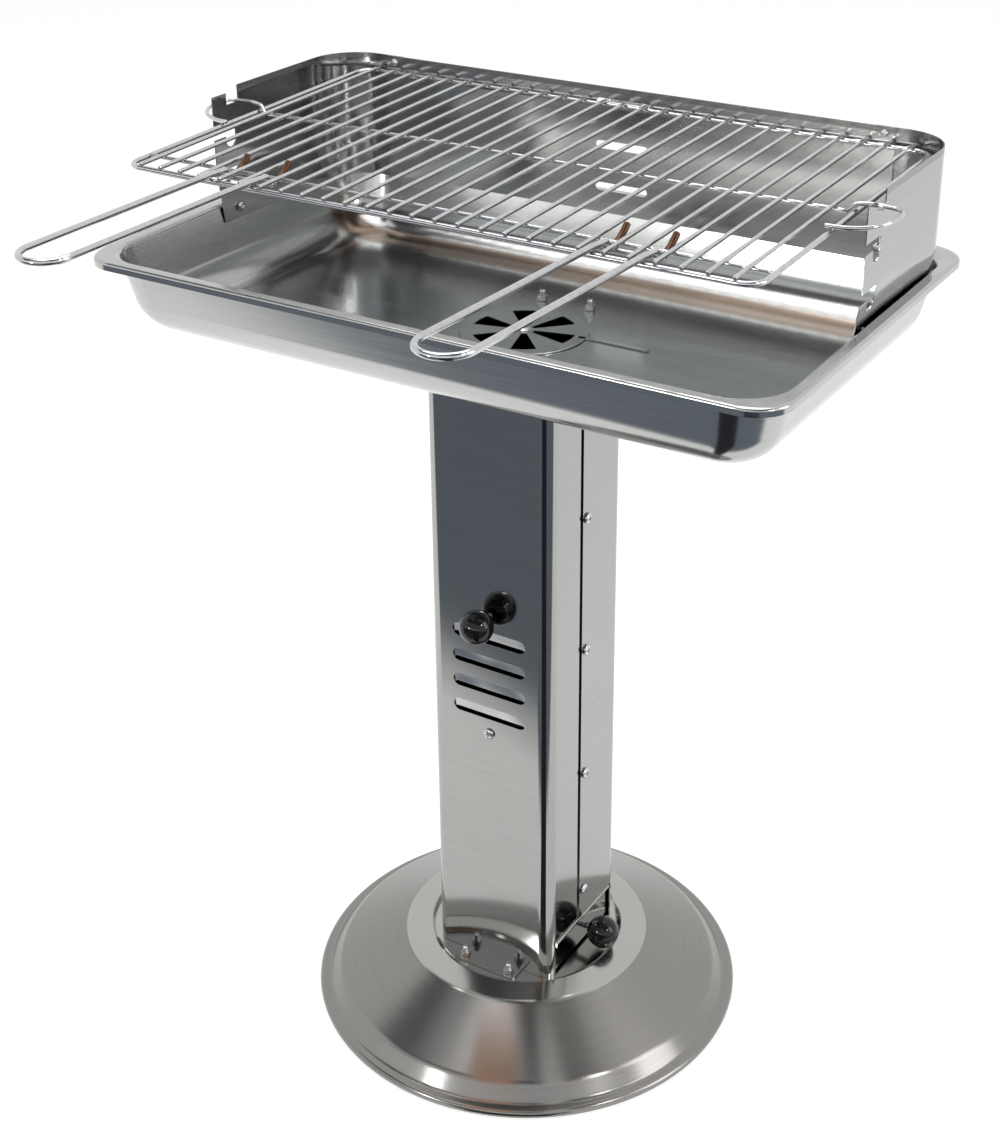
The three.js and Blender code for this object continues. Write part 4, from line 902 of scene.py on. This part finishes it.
def handles():
    half = BAR_PITCH
    lift = FRAME_WIRE + GAP + HANDLE_WIRE
    tip, rail = HANDLE_TIP_Y - FRONT_Y, HANDLE_RAIL_Y - FRONT_Y
    bar, reach = HANDLE_BAR_Y - FRONT_Y, HANDLE_REACH_Y - FRONT_Y
    under = RAIL_LIFT - BAR_WIRE - GAP - HANDLE_WIRE
    bar_height = BAR_LIFT - BAR_WIRE - GAP - HANDLE_BAR
    leg_at_bar = bar_height + HANDLE_BAR + HANDLE_WIRE - WELD_DEPTH
    leg = [
        (tip, under + HOOK_RISE),
        ((tip * 2 + rail) / 3, under + HOOK_RISE / 2),
        (rail + HANDLE_WIRE * 2, under + WELD_DEPTH * 2),
        (rail, under),
        (rail - HANDLE_WIRE, under + WELD_DEPTH),
        ((rail + bar) / 2, (under + leg_at_bar) / 2),
        (bar + HANDLE_WIRE, leg_at_bar - WELD_DEPTH),
        (bar - HANDLE_WIRE, leg_at_bar),
        (0, lift),
    ]
    bend = [(x, y, lift + HANDLE_RISE) for x, y in arc(0, reach + half, half, 0, -180, 28)]
    right = smooth_line([(half, y, z) for y, z in leg]) + [(half, (reach + half) / 2, lift + HANDLE_RISE / 2)]
    left = [(-x, y, z) for x, y, z in right][::-1]
    reach_x = half + HANDLE_OVERHANG
    loop = merged(tube(right + bend + left, HANDLE_WIRE),
                  straight((-reach_x, bar, bar_height), (reach_x, bar, bar_height), HANDLE_BAR))
    along = FRONT_Y - PIVOT_Y
    for side, hand in ((-1, "left"), (1, "right")):
        place = (Matrix.Translation((GRATE_X + side * HANDLE_BARS_OUT * BAR_PITCH,
                                     PIVOT_Y + along * math.cos(GRATE_SLOPE),
                                     PIVOT_HEIGHT + along * math.sin(GRATE_SLOPE)))
                 @ Matrix.Rotation(GRATE_SLOPE, 4, "X") @ Matrix.Rotation(HANDLE_YAW[side], 4, "Z"))
        piece = mesh_object(hand + "_handle_wire", moved(loop, place))
        dress(piece, LOOKS["tinted"], hand + "_lift", hand + "_handle", sharp=60)


# Fasteners, turned along +z with their seat at the height zero. Thread depths are shares of
# the pitch, and a recess's measures are shares of the head's radius or height.
THREAD_PITCH = 0.8
THREAD_DEPTH = 0.35
THREAD_TIP = 0.7
THREAD_ROOT = ((0.3, 0), (0.5, THREAD_DEPTH), (0.7, 0))
CROWN_EDGE = 0.35
HEAD_CHAMFER = 0.2
RECESS_REACH = 0.55
RECESS_HALF = 0.12
RECESS_FLOOR = 0.45

# Shank radius, head radius, head height, length and whether the head has a cross recess
SEAM_SCREW = (1.6, 4.7, 3.0, 9, True)
BOLT = (2.5, 4.8, 2.8, 12, False)
GUIDE_SCREW = (2.5, 4.8, 2.8, 12, True)
SHIELD_BOLT = (2.0, 3.2, 1.9, 9, True)

# Width across flats, height and radius of the bore
NUT = (8.0, 4.0, 2.8)
SMALL_NUT = (7.0, 3.2, 2.3)
NUT_CHAMFERS = ((0.9, 0), (1.0, 0.08), (1.0, 0.92), (0.9, 1.0))


def threaded(radius, start, end, pitch=THREAD_PITCH):
    line, height = [(radius, start)], start
    while height + pitch < end:
        line += [(radius - pitch * depth, height + pitch * share) for share, depth in THREAD_ROOT]
        height += pitch
    return line + [(radius, end - pitch), (radius - pitch * THREAD_TIP, end), (0, end)]


def screw_mesh(name, shank, head, head_height, length, recess):
    turns = [math.radians(a) for a in range(10, 91, 8)]
    line = [(0, -head_height)]
    line += [(head * math.sin(t), -head_height * (CROWN_EDGE + (1 - CROWN_EDGE) * math.cos(t)))
             for t in turns]
    line += [(head, -HEAD_CHAMFER), (head - HEAD_CHAMFER, 0)] + threaded(shank, 0, length)
    piece = mesh_object(name, lathe(line, SMALL_SIDES), unplaced)
    if recess:
        reach, half = head * RECESS_REACH, head * RECESS_HALF
        bars = [prism([(-a, -b), (a, -b), (a, b), (-a, b)], -head_height - 1, -head_height * RECESS_FLOOR)
                for a, b in ((reach, half), (half, reach))]
        cut(piece, *bars, put=unplaced, crossing=True)
    mesh = piece.data
    bpy.data.objects.remove(piece)
    return mesh


def nut_mesh(name, across, height, bore):
    corner = across / math.sqrt(3)
    rings = []
    for radius_share, level in NUT_CHAMFERS:
        ring = []
        for k in range(SMALL_SIDES * 3):
            turn = 2 * math.pi * k / (SMALL_SIDES * 3)
            inside = (turn + math.pi / 6) % (math.pi / 3) - math.pi / 6
            flat = across / 2 / math.cos(inside)
            reach = min(flat, corner * radius_share)
            ring.append((reach * math.cos(turn), reach * math.sin(turn), height * level))
        rings.append(ring)
    count = len(rings[0])
    turns = [2 * math.pi * k / count for k in range(count)]
    hole = [[(bore * math.cos(t), bore * math.sin(t), height * level) for t in turns] for level in (1.0, 0.0)]
    piece = mesh_object(name, sections(rings + hole, closed=True), unplaced)
    mesh = piece.data
    bpy.data.objects.remove(piece)
    return mesh


def fastener(node, mesh, out, head_height, look="zinc"):
    """Puts a fastener where its solid is. out points from the head to the shank's tip."""
    low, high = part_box(node)
    middle = (low + high) / 2
    axis = max(range(3), key=lambda k: abs(out[k]))
    start = low[axis] if out[axis] > 0 else high[axis]
    middle[axis] = start + out[axis] * head_height * MM
    piece = bpy.data.objects.new("fine_" + node, mesh.copy())
    bpy.context.scene.collection.objects.link(piece)
    piece.matrix_world = Matrix.Translation(middle) @ Vector(out).to_track_quat("Z", "Y").to_matrix().to_4x4()
    dress(piece, LOOKS[look], "stand", node, sharp=35)


def fasteners():
    up, rear = (0, 0, 1), (0, 1, 0)
    inward = {"left": (1, 0, 0), "right": (-1, 0, 0)}
    corners = [f"{y}_{x}" for y in ("front", "rear") for x in ("left", "right")]
    seam = screw_mesh("seam screw", *SEAM_SCREW)
    bolt = screw_mesh("bolt", *BOLT)
    guide = screw_mesh("guide screw", *GUIDE_SCREW)
    small = screw_mesh("windshield bolt", *SHIELD_BOLT)
    nut = nut_mesh("nut", *NUT)
    small_nut = nut_mesh("small nut", *SMALL_NUT)
    shank, head, small_head, _, _ = SHIELD_BOLT
    for hand, out in inward.items():
        for i in range(1, 5):
            fastener(f"seam_screw_{hand}_{i}", seam, out, SEAM_SCREW[2])
        for level in ("top", "foot"):
            fastener(f"windshield_bolt_{hand}_{level}", small, rear, small_head)
            fastener(f"windshield_nut_{hand}_{level}", small_nut, rear, 0)
        low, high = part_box(f"wing_bolt_{hand}")
        length = (high.x - low.x) / MM - small_head
        long_bolt = screw_mesh("wing bolt " + hand, shank, head, small_head, length, False)
        fastener(f"wing_bolt_{hand}", long_bolt, out, small_head)
        fastener(f"wing_nut_{hand}", small_nut, out, 0)
    for where in ("foot", "bowl"):
        for corner in corners:
            fastener(f"{where}_bolt_{corner}", bolt, up, BOLT[2])
            fastener(f"{where}_nut_{corner}", nut, up, 0)
    fastener("damper_guide_screw", guide, rear, GUIDE_SCREW[2])
    fastener("damper_guide_nut", nut, rear, 0)


# Studio: a white floor and surround, and cards that only the metal shows, which stand for
# the room of the photograph, and one dark card on the floor that is a painted shadow.
# Cards are placed around the column's axis, in metres.

WHITE = (1.0, 1.0, 1.0)
FLOOR_GLOW = 0.72
FLOOR_SHADE = (0.42, 0.42, 0.42, 1)
FLOOR_BOUNCE = (0.7, 0.7, 0.7, 1)
WORLD_GREY = (0.6, 0.6, 0.6, 1)
FLOOR_SIZE = 30.0
CARD_LIFT = 0.002
DARK_CLOTH = (0.20, 0.23, 0.27)
DARK_ROOM = (0.12, 0.12, 0.13)
CLOTH_EDGE = (-0.35, -0.46)
CLOTH_SLOPE = 0.41
CLOTH_SIZE = 3.0
# A near-black sector of the floor, in front of the column and to its right, that only the metal shows: a
# painted shadow on the floor. Its two turns about the axis in degrees, then its reach in metres.
FLOOR_SHADOW_TURNS = (-80.0, -47.0)
FLOOR_SHADOW_REACH = (0.2, 2.2)
ROOM_FRONT = -2.4
ROOM_REAR = 0.3
ROOM_SIZE = (3.0, 3.2)
PALE_WALL = (0.62, 0.69, 0.72)
# Colour of the painted floor shadow.
FLOOR_SHADOW_TONE = (0.03, 0.03, 0.035)

# Bands of the room's front wall: foot, top, colour and strength. The bright one is a window.
WALL_BANDS = ((0.0, 0.76, DARK_ROOM, 1.0),
              (0.76, 1.2, WHITE, 1.8),
              (1.6, 2.3, PALE_WALL, 1.0))

WARM_SHADE = (0.90, 0.56, 0.40)
WARM_OUTLINE = ((-0.03, -0.175), (0.07, -0.165), (0.225, -0.5), (0.055, -0.5))
PALE_OUTLINE = ((0.10, -0.12), (0.135, -0.10), (0.45, -0.38), (0.36, -0.45))
SHADES = (("warm shade", WARM_OUTLINE, WARM_SHADE), ("pale shade", PALE_OUTLINE, WHITE))
SHADE_HEIGHT = 0.3

# Name, place, size, power and whether the metal mirrors the lamp, all aimed at LAMP_AIM
LAMP_AIM = (0, 0, 0.6)
LAMPS = (("softbox above", (-0.3, 0.2, 2.6), (1.8, 1.4), 26, True),
         ("softbox left", (-2.4, -0.5, 2.1), (1.2, 1.2), 24, False),
         ("softbox right", (2.4, 0.6, 1.5), (1.0, 1.8), 16, True),
         ("spot left", (-0.62, -1.88, 0.96), (0.26, 0.26), 6, True),
         ("spot right", (1.7, -0.4, 1.7), (0.26, 0.26), 6, True))


def shown(tree):
    """One for every ray that shows the background: straight, mirrored or through glass."""
    path = add(tree, "ShaderNodeLightPath").outputs
    mirrored = add(tree, "ShaderNodeMath", {0: path["Is Glossy Ray"], 1: path["Is Transmission Ray"]},
                   operation="MAXIMUM").outputs["Value"]
    return add(tree, "ShaderNodeMath", {0: path["Is Camera Ray"], 1: mirrored},
               operation="MAXIMUM").outputs["Value"]


def floor():
    mesh = bpy.data.meshes.new("studio floor")
    s = FLOOR_SIZE
    mesh.from_pydata([(-s, -s, 0), (s, -s, 0), (s, s, 0), (-s, s, 0)], [], [(0, 1, 2, 3)])
    made = bpy.data.objects.new("studio_floor", mesh)
    bpy.context.scene.collection.objects.link(made)
    material, tree = new_material("studio floor")
    glow = add(tree, "ShaderNodeEmission", {"Color": (*WHITE, 1), "Strength": FLOOR_GLOW})
    shade = add(tree, "ShaderNodeBsdfDiffuse", {"Color": FLOOR_SHADE})
    white = add(tree, "ShaderNodeAddShader", {0: glow.outputs["Emission"], 1: shade.outputs["BSDF"]})
    plain = add(tree, "ShaderNodeBsdfDiffuse", {"Color": FLOOR_BOUNCE})
    both = add(tree, "ShaderNodeMixShader", {
        0: shown(tree), 1: plain.outputs["BSDF"], 2: white.outputs["Shader"]})
    add(tree, "ShaderNodeOutputMaterial", {"Surface": both.outputs["Shader"]})
    mesh.materials.append(material)


def surround():
    world = bpy.data.worlds.new("studio")
    world.use_nodes = True
    bpy.context.scene.world = world
    tree = world.node_tree
    tree.nodes.clear()
    color = add(tree, "ShaderNodeMix", {0: shown(tree), 6: WORLD_GREY, 7: (*WHITE, 1)}, data_type="RGBA")
    shade = add(tree, "ShaderNodeBackground", {"Color": color.outputs[2], "Strength": 1.0})
    add(tree, "ShaderNodeOutputWorld", {"Surface": shade.outputs["Background"]})


def card(name, outline, color, fade=None, slope=0.0, one_sided=False, strength=1.0):
    """A card that the metal mirrors and the camera doesn't see. fade gives the two
    places along y, on the axis, between which it goes over from white to its colour, and
    slope turns that edge. A one-sided card lets the rays that reach its back through."""
    mesh = bpy.data.meshes.new(name)
    mesh.from_pydata([(AXIS.x + x, AXIS.y + y, z) for x, y, z in outline], [], [tuple(range(len(outline)))])
    made = bpy.data.objects.new(name, mesh)
    bpy.context.scene.collection.objects.link(made)
    material, tree = new_material(name)
    shade = add(tree, "ShaderNodeEmission", {"Color": (*color, 1), "Strength": strength})
    if fade:
        place = add(tree, "ShaderNodeTexCoord").outputs["Object"]
        level = add(tree, "ShaderNodeVectorMath", {0: place, 1: (-slope, 1, 0)},
                    operation="DOT_PRODUCT").outputs["Value"]
        start = AXIS.y - slope * AXIS.x
        share = add(tree, "ShaderNodeMapRange", {
            "Value": level, "From Min": start + fade[0], "From Max": start + fade[1]},
            interpolation_type="SMOOTHSTEP").outputs["Result"]
        tone = add(tree, "ShaderNodeMix", {0: share, 6: (*WHITE, 1), 7: (*color, 1)},
                   data_type="RGBA").outputs[2]
        tree.links.new(tone, shade.inputs["Color"])
    surface = shade.outputs["Emission"]
    if one_sided:
        clear = add(tree, "ShaderNodeBsdfTransparent").outputs["BSDF"]
        behind = add(tree, "ShaderNodeNewGeometry").outputs["Backfacing"]
        surface = add(tree, "ShaderNodeMixShader", {0: behind, 1: surface, 2: clear}).outputs["Shader"]
    add(tree, "ShaderNodeOutputMaterial", {"Surface": surface})
    mesh.materials.append(material)
    made.visible_camera = False
    made.visible_diffuse = False
    made.visible_shadow = False


def cards():
    s, lift = CLOTH_SIZE, CARD_LIFT
    edge, rise = CLOTH_EDGE[0], CLOTH_SLOPE * s
    card("dark cloth", [(-s, -s, lift), (s, -s, lift), (s, edge + rise, lift), (-s, edge - rise, lift)],
         DARK_CLOTH, CLOTH_EDGE, CLOTH_SLOPE)
    # The painted shadow on the floor, a dark sector that the metal mirrors.
    near, far = FLOOR_SHADOW_REACH
    turns = [math.radians(a) for a in FLOOR_SHADOW_TURNS]
    ends = [(near, turns[0]), (far, turns[0]), (far, turns[1]), (near, turns[1])]
    card("painted floor shadow", [(r * math.cos(t), r * math.sin(t), lift * 2) for r, t in ends], FLOOR_SHADOW_TONE)
    half, top = ROOM_SIZE
    near, far = ROOM_FRONT, ROOM_REAR
    for low, high, color, strength in WALL_BANDS:
        card("wall", [(-half, near, low), (half, near, low), (half, near, high), (-half, near, high)], color,
             strength=strength)
    ceiling = [(-half, near, top), (half, near, top), (half, far, top), (-half, far, top)]
    card("dark ceiling", ceiling, DARK_ROOM)
    for name, outline, color in SHADES:
        card(name, [(x, y, SHADE_HEIGHT) for x, y in outline], color, one_sided=True)


def lamp(name, place, size, power, mirrored):
    data = bpy.data.lights.new(name, "AREA")
    data.shape = "RECTANGLE"
    data.size, data.size_y = size
    data.energy = power
    made = bpy.data.objects.new(name, data)
    made.location = place
    made.rotation_euler = (Vector(place) - Vector(LAMP_AIM)).to_track_quat("Z", "Y").to_euler()
    bpy.context.scene.collection.objects.link(made)
    made.visible_camera = False
    made.visible_glossy = mirrored


def lights():
    for values in LAMPS:
        lamp(*values)


# Camera, measured from the photograph

EYE = (734.7, -1212.0, 1213.3)
EYE_YAW = math.radians(31.8303)
EYE_PITCH = math.radians(24.5011)
EYE_ROLL = math.radians(-0.481)
FRAME_SIZE = (1000, 1146)
FOCAL_PIXELS = 1883.63
AXIS_PIXEL = (506.34, 424.0)
SENSOR = 36.0


def camera():
    data = bpy.data.cameras.new("camera")
    made = bpy.data.objects.new("camera", data)
    bpy.context.scene.collection.objects.link(made)
    ahead = Vector((-math.sin(EYE_YAW) * math.cos(EYE_PITCH), math.cos(EYE_YAW) * math.cos(EYE_PITCH),
                    -math.sin(EYE_PITCH)))
    right = Vector((math.cos(EYE_YAW), math.sin(EYE_YAW), 0))
    up = right.cross(ahead)
    tilted_right = right * math.cos(EYE_ROLL) + up * math.sin(EYE_ROLL)
    tilted_up = up * math.cos(EYE_ROLL) - right * math.sin(EYE_ROLL)
    turn = Matrix((tilted_right, tilted_up, -ahead)).transposed()
    made.matrix_world = Matrix.Translation(point(*EYE)) @ turn.to_4x4()
    longest = max(FRAME_SIZE)
    data.sensor_width = SENSOR
    data.sensor_fit = "AUTO"
    data.lens = FOCAL_PIXELS / longest * SENSOR
    data.shift_x = (FRAME_SIZE[0] / 2 - AXIS_PIXEL[0]) / longest
    data.shift_y = (AXIS_PIXEL[1] - FRAME_SIZE[1] / 2) / longest
    data.clip_end = 200
    bpy.context.scene.camera = made


camera()
base_plate()
column()
ash_door()
knobs()
bowl()
shield_panel()
wings()
grate()
side_loops()
handles()
fasteners()
floor()
surround()
cards()
lights()
bpy.context.scene.view_settings.view_transform = "Standard"
